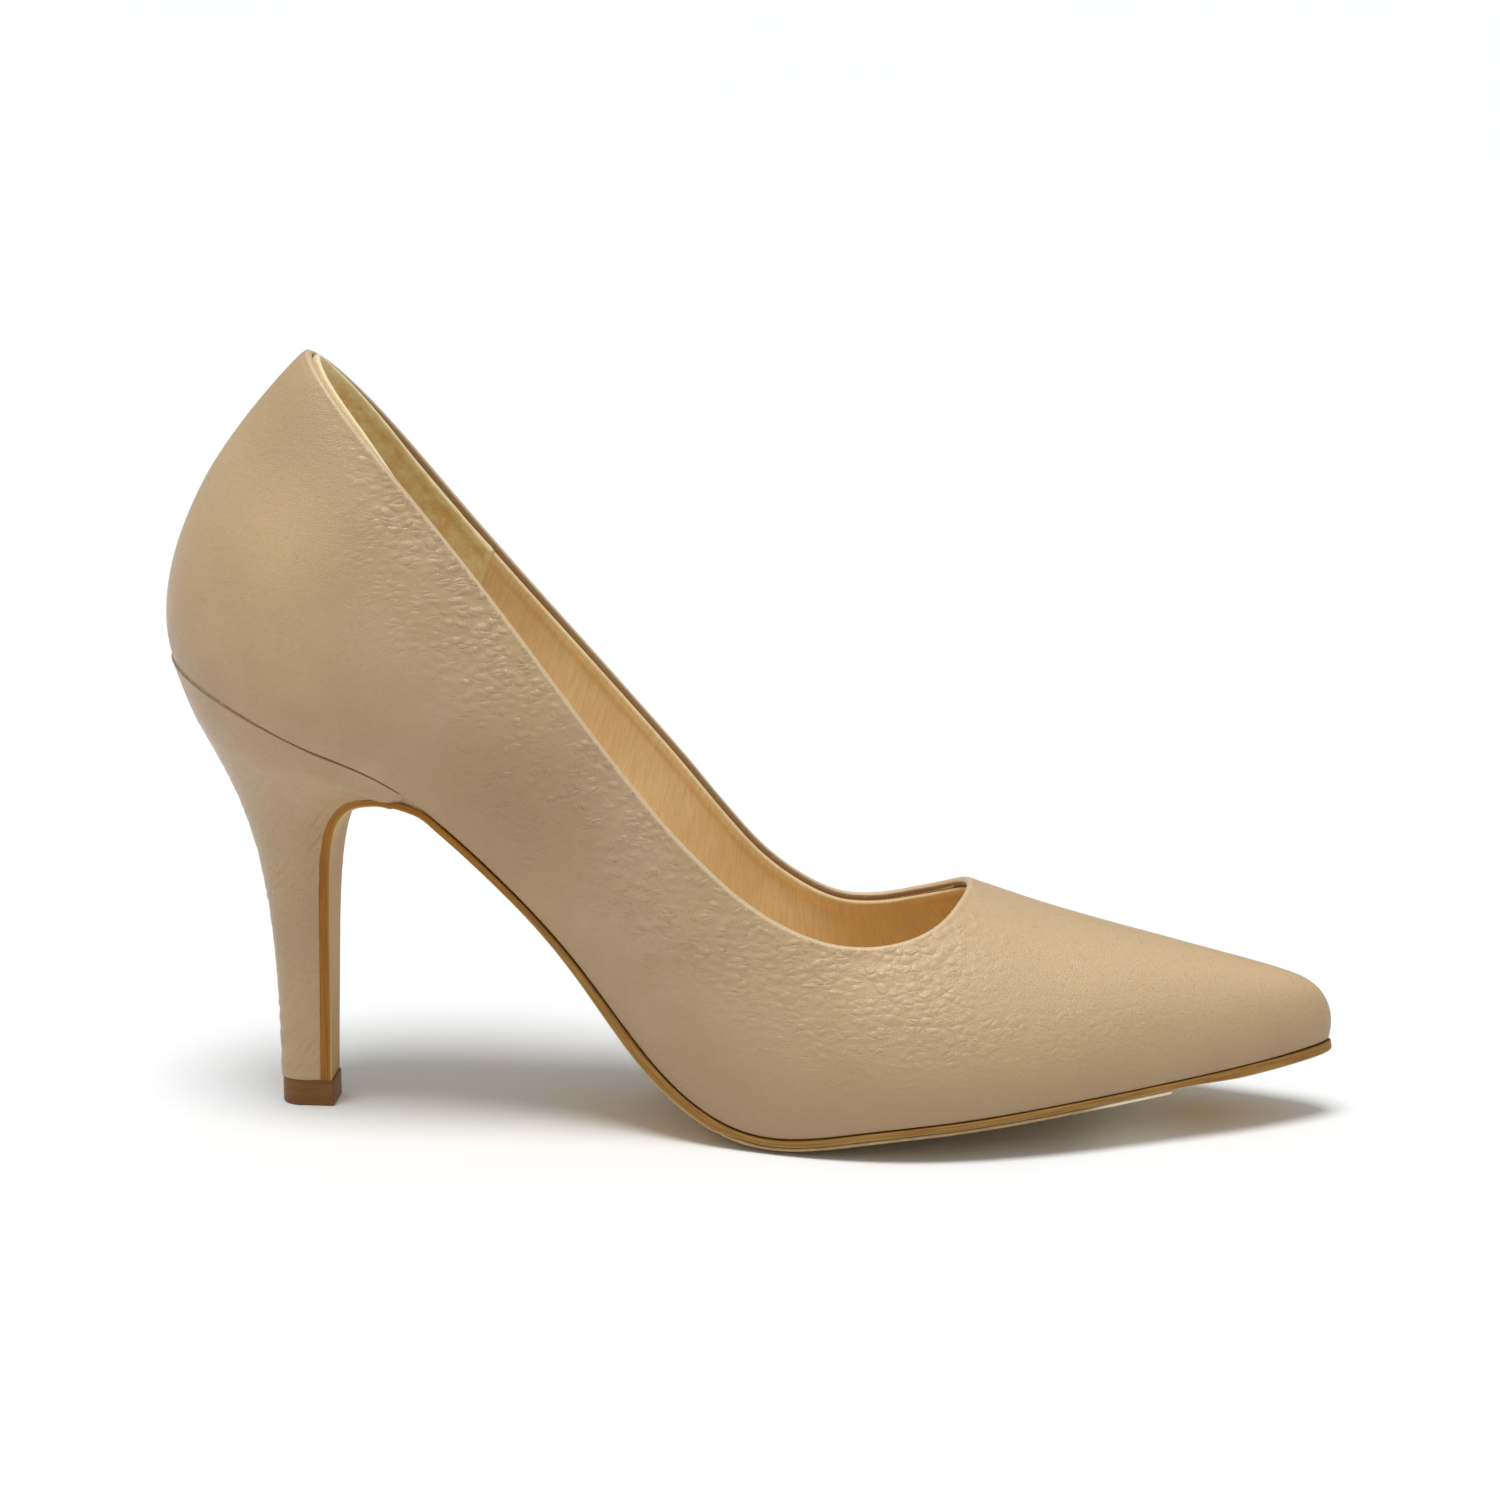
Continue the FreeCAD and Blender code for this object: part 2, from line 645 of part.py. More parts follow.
def make_steel_shank():
    """Spring steel strip in the waist, between the lasting margins."""
    half = dim("shank_width") / 2

    def face_points(height):
        centres = [across_bottom(near, 0.0, height, 3)[1] for near in spread(3.0, 8.6, 21)]
        return [[Vector(centre.x, y, centre.z) for y in (-half, 0.0, half)] for centre in centres]

    return between(face_points(SLIP), face_points(SLIP + dim("shank_gauge")))


# ---------------------------------------------------------------- heel
#
# Each level is a copy of the seat's outline, scaled to run from a point of the heel's back line to a
# point of the breast line. Level, back x, z, breast x, z, half width at the breast.

HEEL_LEVELS = [
    (0, 0.6, 93.7, 50.8, 69.6, 22.9),
    (1, 4.6, 82.8, 49.4, 67.1, 21.2),
    (2, 8.8, 74.6, 44.8, 67.3, 18.8),
    (3, 13.0, 65.7, 38.8, 65.8, 15.4),
    (4, 16.4, 55.4, 34.2, 61.5, 11.8),
    (5, 18.6, 44.0, 31.9, 54.5, 8.8),
    (6, 19.9, 32.0, 31.1, 43.0, 6.5),
    (7, 20.5, 19.0, 30.9, 25.0, 5.2),
    (8, 20.7, 5.53, 30.6, 5.53, 4.6),
]
SEAT_FRONT = 5.15    # station of the heel's front corner on the feather line


def heel_level(level):
    return [smooth_through(HEEL_LEVELS, level, column) for column in (1, 2, 3, 4, 5)]


def heel_point(level, station, inset=0.0):
    """Point of the heel's side. The station is negative on the inner side."""
    back_x, back_z, breast_x, breast_z, half_width = heel_level(level)
    back = on_ring(RINGS[0], 0.0)
    corner = on_ring(RINGS[0], SEAT_FRONT)

    def raw(signed):
        seat = on_ring(RINGS[0], abs(signed))
        share = (seat.x - back.x) / (corner.x - back.x)
        y = seat.y * half_width / -corner.y * (1 if signed >= 0 else -1)
        return Vector(back_x + (breast_x - back_x) * share, y, back_z + (breast_z - back_z) * share)

    point = raw(station)
    if inset > 0:
        along = raw(station + 0.02) - raw(station - 0.02)
        plane = Vector(-(breast_z - back_z), 0, breast_x - back_x)
        outward = along.cross(plane).normalize()
        point = point - outward * inset
    return point - Vector(HEEL_AXIS, 0, 0)


def heel_grid(inset):
    return [[heel_point(level, station, inset) for level in spread(0, 8, 17)]
            for station in spread(SEAT_FRONT, -SEAT_FRONT, 25)]


def make_heel_cover():
    """Leather wrapped round the back and sides of the heel."""
    return between(heel_grid(0.0), heel_grid(dim("cover_gauge")))


def make_heel_block():
    """Moulded heel under the leather: side, breast, flat seat and flat ground face."""
    grid = heel_grid(dim("cover_gauge") + SLIP)
    faces = [skin(grid), rim(grid[0], grid[-1])]
    for level in (0, -1):
        outline = Part.BSplineCurve()
        points = [column[level] for column in grid]
        outline.interpolate(Points=points, Parameters=[float(i) for i in range(len(points))])
        faces.append(Part.Face(Part.Wire([outline.toShape(), Part.makeLine(points[-1], points[0])])))
    return sewn(faces)


# ---------------------------------------------------------------- outsole

SOLE_LEAVES = 5.45   # station where the outsole leaves the bottom and turns down the breast
FLAP_GAUGE = 1.7
TREAD_FROM, TREAD_TO = 8.7, 13.1


def sole_gauge(near):
    """Edge thickness: full at the waist, skived where the tread is let in."""
    share = min(max((near - (TREAD_FROM - 0.7)) / 0.6, 0.0), 1.0)
    return dim("sole_gauge") + (dim("skived_gauge") - dim("sole_gauge")) * share


def make_outsole():
    """Outsole from the toe to the waist, carried on down the heel's breast as one piece."""
    reach = dim("sole_reach")
    rows = []
    gauges = []
    for near in spread(15.9, SOLE_LEAVES, 41):
        rows.append(across_bottom(near, -reach, -SLIP))
        gauges.append(sole_gauge(near))
    for level in spread(1.0, 8.0, 15):
        back_x, back_z, breast_x, breast_z, half_width = heel_level(level)
        half_width += reach / 2
        face_x = breast_x + SLIP - HEEL_AXIS
        rows.append([Vector(face_x, y, breast_z) for y in spread(-half_width, half_width, 7)])
        bend = max(1.0 - (level - 1.0) / 2.0, 0.0)
        gauges.append(FLAP_GAUGE + (sole_gauge(SOLE_LEAVES) - FLAP_GAUGE) * bend)
    lower = []
    for i, row in enumerate(rows):
        ahead = rows[max(i - 1, 0)][3]
        behind = rows[min(i + 1, len(rows) - 1)][3]
        along = ahead - behind
        down = Vector(along.z, 0, -along.x).normalize()
        if i == len(rows) - 1:
            down = Vector(1, 0, 0)
        lower.append([point + down * gauges[i] for point in row])
    return between(rows, lower)


def make_tread():
    """Thin forefoot tread let into the outsole, flattened where it bears on the ground."""
    full, skived = dim("sole_gauge"), dim("skived_gauge")
    tread = plate(spread(TREAD_FROM, TREAD_TO, 23), 0.2 - dim("sole_reach"), -full - SLIP, -skived - 2 * SLIP)
    ground = Part.makeBox(400, 200, 20, Vector(-100, -100, -20))
    return tread.cut(ground).Solids[0]


# ---------------------------------------------------------------- hardware
#
# Fasteners in the heel seat stand square to the seat plane. seat_frame places a part whose own axis is
# +Z, with its origin at a height over the bottom of the insole stack.

SEAT_TILT = math.degrees(math.atan(dim("seat_slope")))


def seat_frame(x, y, height):
    """Placement on the seat plane, x measured from the back of the seat."""
    turn = FreeCAD.Rotation(Vector(0, 1, 0), SEAT_TILT)
    foot = Vector(x - HEEL_AXIS, y, dim("seat_height") - dim("seat_slope") * x)
    return FreeCAD.Placement(foot + turn.multVec(Vector(0, 0, height)), turn)


def waist_frame(near, height):
    """Placement on the bottom's centre line at a station."""
    middle = across_bottom(near, 0.0, height, 3)[1]
    normal = bottom_normal(near)
    turn = FreeCAD.Rotation(Vector(0, 0, 1), normal)
    return FreeCAD.Placement(Vector(middle.x, 0.0, middle.z), turn)


def new_body(name, label):
    body = doc.addObject("PartDesign::Body", name)
    body.Label = label
    return body


def sketch_on(body, role, name):
    sketch = body.newObject("Sketcher::SketchObject", name)
    plane = [feature for feature in body.Origin.OriginFeatures if feature.Role == role][0]
    sketch.AttachmentSupport = [(plane, "")]
    sketch.MapMode = "FlatFace"
    return sketch


def bind(obj, prop, expression):
    obj.setExpression(prop, expression)


def make_top_piece():
    """Moulded top piece: straight at the breast, round at the back."""
    body = new_body("TopPiece", "top_piece")
    sketch = sketch_on(body, "XY_Plane", "TopPieceOutline")
    half_width, front = dim("toppiece_width") / 2, dim("toppiece_length") / 2
    centre = half_width - front
    corners = [Vector(centre, -half_width, 0), Vector(front, -half_width, 0),
               Vector(front, half_width, 0), Vector(centre, half_width, 0)]
    sketch.addGeometry(Part.LineSegment(corners[0], corners[1]))
    sketch.addGeometry(Part.LineSegment(corners[1], corners[2]))
    sketch.addGeometry(Part.LineSegment(corners[2], corners[3]))
    back = Part.Circle(Vector(centre, 0, 0), Vector(0, 0, 1), half_width)
    sketch.addGeometry(Part.ArcOfCircle(back, math.pi / 2, 3 * math.pi / 2))
    for first, second in ((0, 1), (1, 2)):
        sketch.addConstraint(Sketcher.Constraint("Coincident", first, 2, second, 1))
    sketch.addConstraint(Sketcher.Constraint("Tangent", 2, 2, 3, 1))
    sketch.addConstraint(Sketcher.Constraint("Tangent", 0, 1, 3, 2))
    sketch.addConstraint(Sketcher.Constraint("Horizontal", 0))
    sketch.addConstraint(Sketcher.Constraint("Symmetric", 1, 1, 1, 2, -1))
    width = sketch.addConstraint(Sketcher.Constraint("DistanceY", 1, 1, 1, 2, 2 * half_width))
    sketch.renameConstraint(width, "width")
    reach = sketch.addConstraint(Sketcher.Constraint("DistanceX", -1, 1, 1, 1, front))
    sketch.renameConstraint(reach, "front")
    bind(sketch, "Constraints.width", "dims.toppiece_width")
    bind(sketch, "Constraints.front", "dims.toppiece_length / 2")
    centring = sketch.addConstraint(Sketcher.Constraint("DistanceX", 3, 3, -1, 1, -centre))
    sketch.renameConstraint(centring, "centring")
    bind(sketch, "Constraints.centring", "(dims.toppiece_length - dims.toppiece_width) / 2")
    pad = body.newObject("PartDesign::Pad", "TopPiecePad")
    pad.Profile = sketch
    pad.Length = dim("toppiece_height")
    bind(pad, "Length", "dims.toppiece_height")
    doc.recompute()
    ground_edges = [
        "Edge%d" % (i + 1) for i, edge in enumerate(pad.Shape.Edges)
        if edge.BoundBox.ZMax < 0.01
    ]
    rounding = body.newObject("PartDesign::Fillet", "TopPieceRounding")
    rounding.Base = (pad, ground_edges)
    rounding.Radius = dim("toppiece_corner")
    bind(rounding, "Radius", "dims.toppiece_corner")
    return body


def make_headed_pin(name, label, radius, length, head_radius, head_rise, flat_point=False):
    """Revolved fastener along -Z with its head's top face at the origin. Sizes are sheet aliases."""
    body = new_body(name, label)
    sketch = sketch_on(body, "XZ_Plane", name + "Profile")
    r, total, head, rise = dim(radius), dim(length) + dim(head_rise), dim(head_radius), dim(head_rise)
    point_rise = 0.01 if flat_point else 2 * r
    outline = [Vector(0, 0, 0), Vector(head, 0, 0), Vector(r, -rise, 0), Vector(r, point_rise - total, 0),
               Vector(0, -total, 0)]
    if flat_point:
        outline[3] = Vector(r, -total, 0)
    count = len(outline)
    for i in range(count):
        sketch.addGeometry(Part.LineSegment(outline[i], outline[(i + 1) % count]))
    for i in range(count):
        sketch.addConstraint(Sketcher.Constraint("Coincident", i, 2, (i + 1) % count, 1))
    sketch.addConstraint(Sketcher.Constraint("Coincident", 0, 1, -1, 1))
    sketch.addConstraint(Sketcher.Constraint("Horizontal", 0))
    sketch.addConstraint(Sketcher.Constraint("Vertical", 2))
    sketch.addConstraint(Sketcher.Constraint("Vertical", count - 1))
    sizes = [
        ("head", Sketcher.Constraint("DistanceX", -1, 1, 0, 2, head), "dims.%s" % head_radius),
        ("shank", Sketcher.Constraint("DistanceX", -1, 1, 2, 1, r), "dims.%s" % radius),
        ("rise", Sketcher.Constraint("DistanceY", 1, 2, 0, 2, rise), "dims.%s" % head_rise),
        ("total", Sketcher.Constraint("DistanceY", 3, 2, 0, 1, total),
         "dims.%s + dims.%s" % (length, head_rise)),
    ]
    for tag, constraint, expression in sizes:
        sketch.renameConstraint(sketch.addConstraint(constraint), tag)
        bind(sketch, "Constraints.%s" % tag, expression)
    if flat_point:
        sketch.addConstraint(Sketcher.Constraint("Horizontal", 3))
    else:
        taper = sketch.addConstraint(Sketcher.Constraint("DistanceY", 3, 2, 2, 2, 2 * r))
        sketch.renameConstraint(taper, "taper")
        bind(sketch, "Constraints.taper", "2 * dims.%s" % radius)
    turned = body.newObject("PartDesign::Revolution", name + "Turned")
    turned.Profile = sketch
    turned.ReferenceAxis = (sketch, ["V_Axis"])
    turned.Angle = 360.0
    doc.recompute()
    return body


def make_group(label, body, frames):
    """Identical fasteners as one sub-part: a group of separate copies of a body's shape."""
    copies = []
    for i, frame in enumerate(frames):
        copy = doc.addObject("Part::Feature", "%s_%d" % (label, i + 1))
        copy.Shape = body.Shape
        copy.Placement = frame
        copies.append(copy)
    group = doc.addObject("Part::Compound", label)
    group.Label = label
    group.Links = copies
    return group


HEAD_TOP = FOAM_HIGH - SLIP

top_piece = make_top_piece()

screw = make_headed_pin("HeelScrew", "heel_screw", "screw_radius", "screw_length", "screw_head",
                        "screw_head_rise")
screw.Placement = seat_frame(27.0, 0.0, HEAD_TOP)

nail = make_headed_pin("HeelNail", "one_nail", "nail_radius", "nail_length", "nail_head", "nail_head_rise")
nails = make_group("heel_nails", nail,
                   [seat_frame(x, y, HEAD_TOP) for x in (21.0, 38.0) for y in (-10.0, 10.0)])

rivet = make_headed_pin("ShankRivet", "one_rivet", "rivet_radius", "rivet_length", "rivet_head",
                        "rivet_head_rise", flat_point=True)

# The steel pin of the top piece and the tube it is driven into.
pin = doc.addObject("Part::Cylinder", "TopPiecePin")
pin.Label = "top_piece_pin"
bind(pin, "Radius", "dims.pin_radius")
bind(pin, "Height", "dims.pin_length")
pin.Placement = FreeCAD.Placement(Vector(-0.6, 0, 2.0), FreeCAD.Rotation())

tube = doc.addObject("Part::Cylinder", "DowelOutside")
bind(tube, "Radius", "dims.dowel_radius")
bind(tube, "Height", "dims.dowel_length")
bore = doc.addObject("Part::Cylinder", "DowelBore")
bind(bore, "Radius", "dims.dowel_bore")
bind(bore, "Height", "dims.dowel_length")
dowel = doc.addObject("Part::Cut", "HeelDowel")
dowel.Label = "heel_dowel"
dowel.Base = tube
dowel.Tool = bore
dowel.Placement = FreeCAD.Placement(Vector(-0.6, 0, 6.0), FreeCAD.Rotation())
doc.recompute()

rivets = make_group("shank_rivets", rivet, [waist_frame(near, HEAD_TOP) for near in (6.2, 8.0)])


def tack_frame(station):
    """Placement half way across the lasting margin, square to the seat."""
    foot = margin_point(station, 0.5, SLIP)
    return FreeCAD.Placement(foot, FreeCAD.Rotation(Vector(0, 1, 0), SEAT_TILT))


tack = doc.addObject("Part::Cylinder", "SeatTack")
tack.Label = "one_tack"
bind(tack, "Radius", "dims.tack_radius")
bind(tack, "Height", "dims.tack_length")
doc.recompute()
tacks = make_group("seat_tacks", tack, [tack_frame(station) for station in (-4.0, -2.0, 0.0, 2.0, 4.0)])
doc.recompute()

# ---------------------------------------------------------------- sub-parts

seat_fasteners = Part.Compound([screw.Shape, nails.Shape, tacks.Shape, rivets.Shape])
stem_bore = Part.makeCylinder(dim("dowel_radius"), dim("dowel_length") + 0.5, Vector(-0.6, 0, 5.0))


def without(shape, *tools):
    """The shape with the fasteners' holes in it."""
    for tool in tools:
        for solid in tool.Solids:
            shape = shape.cut(solid)
    return shape.Solids[0]


add_shape("upper", without(make_upper(), tacks.Shape))
add_shape("lining", make_lining())
add_shape("heel_grip", make_heel_grip())
add_shape("heel_counter", make_counter())
add_shape("quarter_interlining", make_interlining())
add_shape("vamp_interlining", make_vamp_interlining())
add_shape("toe_puff", make_toe_puff())
add_shape("topline_tape", make_topline_tape())
add_shape("sock", make_sock())
add_shape("heel_pad", make_heel_pad())
add_shape("forefoot_pad", make_forefoot_pad())
add_shape("insole_board", without(make_insole_board(), seat_fasteners))
add_shape("shank_board", without(make_shank_board(), seat_fasteners))
add_shape("steel_shank", without(make_steel_shank(), screw.Shape, rivets.Shape))
add_shape("bottom_filler", make_bottom_filler())
add_shape("outsole", make_outsole())
add_shape("forefoot_tread", make_tread())
add_shape("heel_cover", make_heel_cover())
add_shape("heel_block", without(make_heel_block(), stem_bore, pin.Shape, screw.Shape, nails.Shape))
doc.recompute()

top_piece_with_pin_hole = doc.addObject("Part::Cut", "TopPieceBored")
top_piece_with_pin_hole.Base = top_piece
top_piece_with_pin_hole.Tool = pin
doc.recompute()
top_piece.Label = "top_piece_blank"
top_piece_with_pin_hole.Label = "top_piece"

NODES = [
    "upper", "lining", "heel_grip", "heel_counter", "quarter_interlining", "vamp_interlining", "toe_puff",
    "topline_tape", "sock", "heel_pad", "forefoot_pad", "insole_board", "shank_board", "steel_shank",
    "shank_rivets", "bottom_filler", "outsole", "forefoot_tread", "heel_cover", "heel_block", "heel_dowel",
    "heel_screw", "heel_nails", "seat_tacks", "top_piece", "top_piece_pin",
]


def check_document():
    for obj in doc.Objects:
        bad = [state for state in obj.State if state in ("Invalid", "Error")]
        if bad:
            raise RuntimeError("%s did not compute: %s" % (obj.Label, bad))


def export(node):
    obj = doc.getObjectsByLabel(node)[0]
    shape = obj.Shape
    if shape.isNull() or not shape.isValid():
        raise RuntimeError("%s has no valid shape" % node)
    shape.exportStep(os.path.join("parts", node + ".step"))
    box = shape.BoundBox
    print("%-20s solids %2d  volume %9.1f  x %6.1f %6.1f  y %6.1f %6.1f  z %6.1f %6.1f" % (
        node, len(shape.Solids), shape.Volume, box.XMin, box.XMax, box.YMin, box.YMax, box.ZMin, box.ZMax))


check_document()
os.makedirs("parts", exist_ok=True)
for node in NODES:
    export(node)
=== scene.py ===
import bmesh
import bpy
import json
import math
import numpy as np
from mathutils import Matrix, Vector, kdtree, noise


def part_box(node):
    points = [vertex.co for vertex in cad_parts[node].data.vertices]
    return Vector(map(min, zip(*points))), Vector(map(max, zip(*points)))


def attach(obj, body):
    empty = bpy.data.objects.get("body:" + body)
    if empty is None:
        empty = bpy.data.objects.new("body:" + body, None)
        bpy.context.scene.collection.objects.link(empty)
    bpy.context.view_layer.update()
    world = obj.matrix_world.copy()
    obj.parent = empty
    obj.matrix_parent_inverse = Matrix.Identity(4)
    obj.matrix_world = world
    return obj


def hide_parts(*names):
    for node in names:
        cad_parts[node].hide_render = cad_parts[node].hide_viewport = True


# A high heel pump for the right foot. Metres; +X to the toe, +Y to the inner side, +Z up, and the
# origin at the centre of the heel's ground face, as in the CAD frame.
#
# Every soft piece is a shell between two offsets of one smooth last, and the last is the CAD's own:
# the two tables below are the driving tables of part.py in the same order.

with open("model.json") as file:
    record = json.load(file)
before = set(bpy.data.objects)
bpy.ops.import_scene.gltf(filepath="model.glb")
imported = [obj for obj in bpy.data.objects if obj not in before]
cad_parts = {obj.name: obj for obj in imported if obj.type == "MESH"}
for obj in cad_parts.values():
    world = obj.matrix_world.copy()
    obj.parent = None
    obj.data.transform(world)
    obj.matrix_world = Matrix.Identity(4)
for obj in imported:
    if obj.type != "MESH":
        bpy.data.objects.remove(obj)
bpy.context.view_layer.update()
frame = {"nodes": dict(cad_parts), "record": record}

MM = 0.001
HEEL_AXIS = 26.6 * MM

# ---------------------------------------------------------------- the last

# feather x, outer y, inner y, z | wall dx, dz, out | ridge x, z | crown dx, out, dz
STATIONS = MM * np.array([
    (1.2, 0.0, 0.0, 93.4, -5.0, 12.0, 0.0, 57.5, 176.0, -54.7, 0.0, -34.0),
    (3.2, -9.0, 9.0, 92.5, -4.4, 12.5, 1.8, 58.5, 174.0, -49.5, 13.0, -31.0),
    (9.0, -17.0, 17.0, 89.7, -2.2, 13.0, 4.5, 61.0, 170.0, -36.0, 19.0, -22.0),
    (19.0, -22.8, 22.8, 84.9, 3.0, 13.0, 7.5, 68.0, 162.0, -18.0, 21.0, -12.0),
    (32.0, -24.5, 24.5, 78.6, 8.0, 12.5, 7.5, 80.0, 146.0, -6.0, 20.0, -5.0),
    (48.0, -23.0, 23.0, 71.0, 9.5, 11.0, 7.5, 95.0, 124.0, -2.0, 24.0, -2.0),
    (66.0, -21.2, 20.0, 55.5, 9.0, 10.0, 8.0, 109.0, 102.0, 0.0, 28.5, 0.0),
    (84.0, -20.2, 17.5, 35.5, 8.5, 10.0, 9.0, 122.0, 82.0, 0.0, 31.0, 0.0),
    (101.0, -22.3, 17.5, 13.8, 7.0, 11.0, 8.5, 133.0, 68.0, 0.0, 31.5, 0.0),
    (120.0, -28.5, 22.0, 3.4, 4.0, 11.0, 6.0, 142.5, 59.0, 0.0, 29.0, 0.0),
    (141.0, -33.3, 29.5, 5.6, 1.5, 10.5, 4.5, 151.5, 52.8, 0.0, 26.0, 0.0),
    (161.0, -32.3, 33.0, 8.3, 0.0, 9.5, 3.2, 161.0, 48.6, 0.0, 23.0, 0.0),
    (181.0, -26.0, 31.0, 10.5, 0.0, 8.5, 2.4, 179.0, 42.8, 0.0, 18.5, 0.0),
    (200.0, -17.0, 25.0, 12.3, 0.0, 7.5, 2.0, 198.0, 37.6, 0.0, 14.0, 0.0),
    (217.0, -8.0, 17.8, 14.0, 0.0, 6.6, 1.6, 213.5, 33.5, 0.6, 9.4, -0.2),
    (229.0, 0.0, 12.0, 15.3, 0.9, 6.0, 1.0, 223.0, 30.9, 3.8, 5.2, -1.1),
    (233.9, 6.0, 6.0, 16.0, 1.3, 5.6, 0.0, 225.8, 30.0, 7.8, 0.0, -2.3),
])
# Side view of the opening's edge: length, height on the outer side, height on the inner side.
TOPLINE = MM * np.array([
    (27.0, 157.4, 157.4),
    (30.0, 154.3, 154.0),
    (38.0, 145.2, 144.7),
    (54.0, 127.0, 124.6),
    (70.0, 107.3, 105.3),
    (90.0, 80.8, 82.5),
    (102.0, 65.8, 68.8),
    (110.0, 57.4, 59.1),
    (118.0, 50.3, 50.3),
    (126.0, 45.3, 44.4),
    (134.0, 42.2, 41.0),
    (142.0, 41.3, 40.9),
    (150.0, 42.3, 42.9),
    (156.0, 44.6, 45.3),
    (161.0, 48.6, 48.6),
])
# Places along the last, counted in stations: the toe, once round, the opening's front end, where the
# shells divide at the feather, and the front end of the heel grip.
TIP = len(STATIONS) - 1
ROUND = 2 * TIP
THROAT = 11.0
VAMP_FOOT = 13.5
GRIP_EDGE = 4.6
# The ridge bends towards the inner side at the toe.
TOE_SWING = 6.0 * MM
SWING_START = 120.0 * MM
SWING_LENGTH = 114.0 * MM


def unit(vectors):
    return vectors / np.linalg.norm(vectors, axis=-1, keepdims=True)


def smooth(x, start, end):
    """0 before start, 1 after end, and an eased slope between them. End may lie before start."""
    share = np.clip((x - start) / (end - start), 0.0, 1.0)
    return share * share * (3.0 - 2.0 * share)


def rib_points(side):
    """Control points [feather, wall, crown, ridge] of one side's ribs."""
    x, outer, inner, z, wall_dx, wall_dz, wall_out = STATIONS.T[:7]
    ridge_x, ridge_z, crown_dx, crown_out, crown_dz = STATIONS.T[7:]
    y = outer if side < 0 else inner
    swing = TOE_SWING * np.clip((ridge_x - SWING_START) / SWING_LENGTH, 0.0, 1.0) ** 1.6
    feather = np.stack([x, y, z], -1)
    wall = np.stack([x + wall_dx, y + side * wall_out, z + wall_dz], -1)
    crown = np.stack([ridge_x + crown_dx, swing + side * crown_out, ridge_z + crown_dz], -1)
    ridge = np.stack([ridge_x, swing, ridge_z], -1)
    return np.stack([feather, wall, crown, ridge])


def closed_poles(points):
    """Control points of the closed cubic B-splines through rings of points."""
    poles = points.copy()
    for _ in range(60):
        poles = points - (np.roll(poles, 1, 1) - 2 * poles + np.roll(poles, -1, 1)) / 6
    return poles


RINGS = closed_poles(np.concatenate([rib_points(-1), rib_points(1)[:, TIP - 1:0:-1]], axis=1))


def on_rings(station):
    """Control points of the ribs at these stations: 0 to 16 on the outer side, on to 32 on the inner."""
    station = np.asarray(station, float)
    whole = np.floor(station).astype(int)
    f = (station - whole)[..., None]
    weights = ((1 - f) ** 3, 3 * f ** 3 - 6 * f ** 2 + 4, -3 * f ** 3 + 3 * f ** 2 + 3 * f + 1, f ** 3)
    return sum(w * RINGS[:, (whole + step - 1) % ROUND] for step, w in enumerate(weights)) / 6


def last_points(station, rise):
    """Points of the last, in the model's frame: rise runs from 0 at the feather to 1 at the ridge."""
    feather, wall, crown, ridge = on_rings(station)
    r = np.asarray(rise, float)[..., None]
    fall = 1 - r
    points = feather * fall ** 3 + wall * (3 * fall ** 2 * r) + crown * (3 * fall * r ** 2) + ridge * r ** 3
    return points - (HEEL_AXIS, 0, 0)


def last_normals(station, rise):
    """Outward unit normals of the last; on the ridge they stand square to it, in the lengthwise plane."""
    station, rise = np.broadcast_arrays(np.asarray(station, float), np.asarray(rise, float))
    around = last_points(station + 0.02, rise) - last_points(station - 0.02, rise)
    above = last_points(station, np.minimum(rise + 0.01, 0.999))
    below = last_points(station, np.maximum(rise - 0.01, 0))
    normals = np.cross(around, above - below)
    near = np.minimum(nearside(station), 14.5)
    along = on_rings(near + 0.05)[3] - on_rings(near - 0.05)[3]
    ridge = np.stack([-along[..., 2], 0 * along[..., 0], along[..., 0]], -1)
    return unit(np.where((rise > 0.999)[..., None], ridge, normals))


def nearside(station):
    """The station counted from the back along either side, from 0 to the toe."""
    station = np.asarray(station, float) % ROUND
    return np.minimum(station, ROUND - station)


def topline_height(x, inner):
    """Height of the opening's edge over a length, on either side: a Catmull-Rom curve through the table."""
    knots = TOPLINE[:, 0]
    span = np.clip(np.searchsorted(knots, x) - 1, 0, len(knots) - 2)
    f = np.clip((x - knots[span]) / (knots[span + 1] - knots[span]), 0.0, 1.0)
    values = np.where(inner[..., None], TOPLINE[:, 2], TOPLINE[:, 1])

    def value(i):
        return np.take_along_axis(values, i[..., None], -1)[..., 0]

    def slope(i):
        before = np.maximum(i - 1, 0)
        after = np.minimum(i + 1, len(knots) - 1)
        return (value(after) - value(before)) / (knots[after] - knots[before])

    step = knots[span + 1] - knots[span]
    return (value(span) * (2 * f ** 3 - 3 * f ** 2 + 1) + slope(span) * step * (f ** 3 - 2 * f ** 2 + f)
            + value(span + 1) * (3 * f ** 2 - 2 * f ** 3) + slope(span + 1) * step * (f ** 3 - f ** 2))


def topline_rise(station):
    """Rise at which the ribs cross the opening's edge: 1 at and ahead of the throat."""
    inner = (station % ROUND) > TIP
    low = np.full(station.shape, 0.25)
    high = np.ones(station.shape)
    for _ in range(40):
        middle = (low + high) / 2
        points = last_points(station, middle)
        below = points[..., 2] < topline_height(points[..., 0] + HEEL_AXIS, inner)
        low = np.where(below, middle, low)
        high = np.where(below, high, middle)
    return np.where(nearside(station) >= THROAT - 1e-9, 1.0, low)


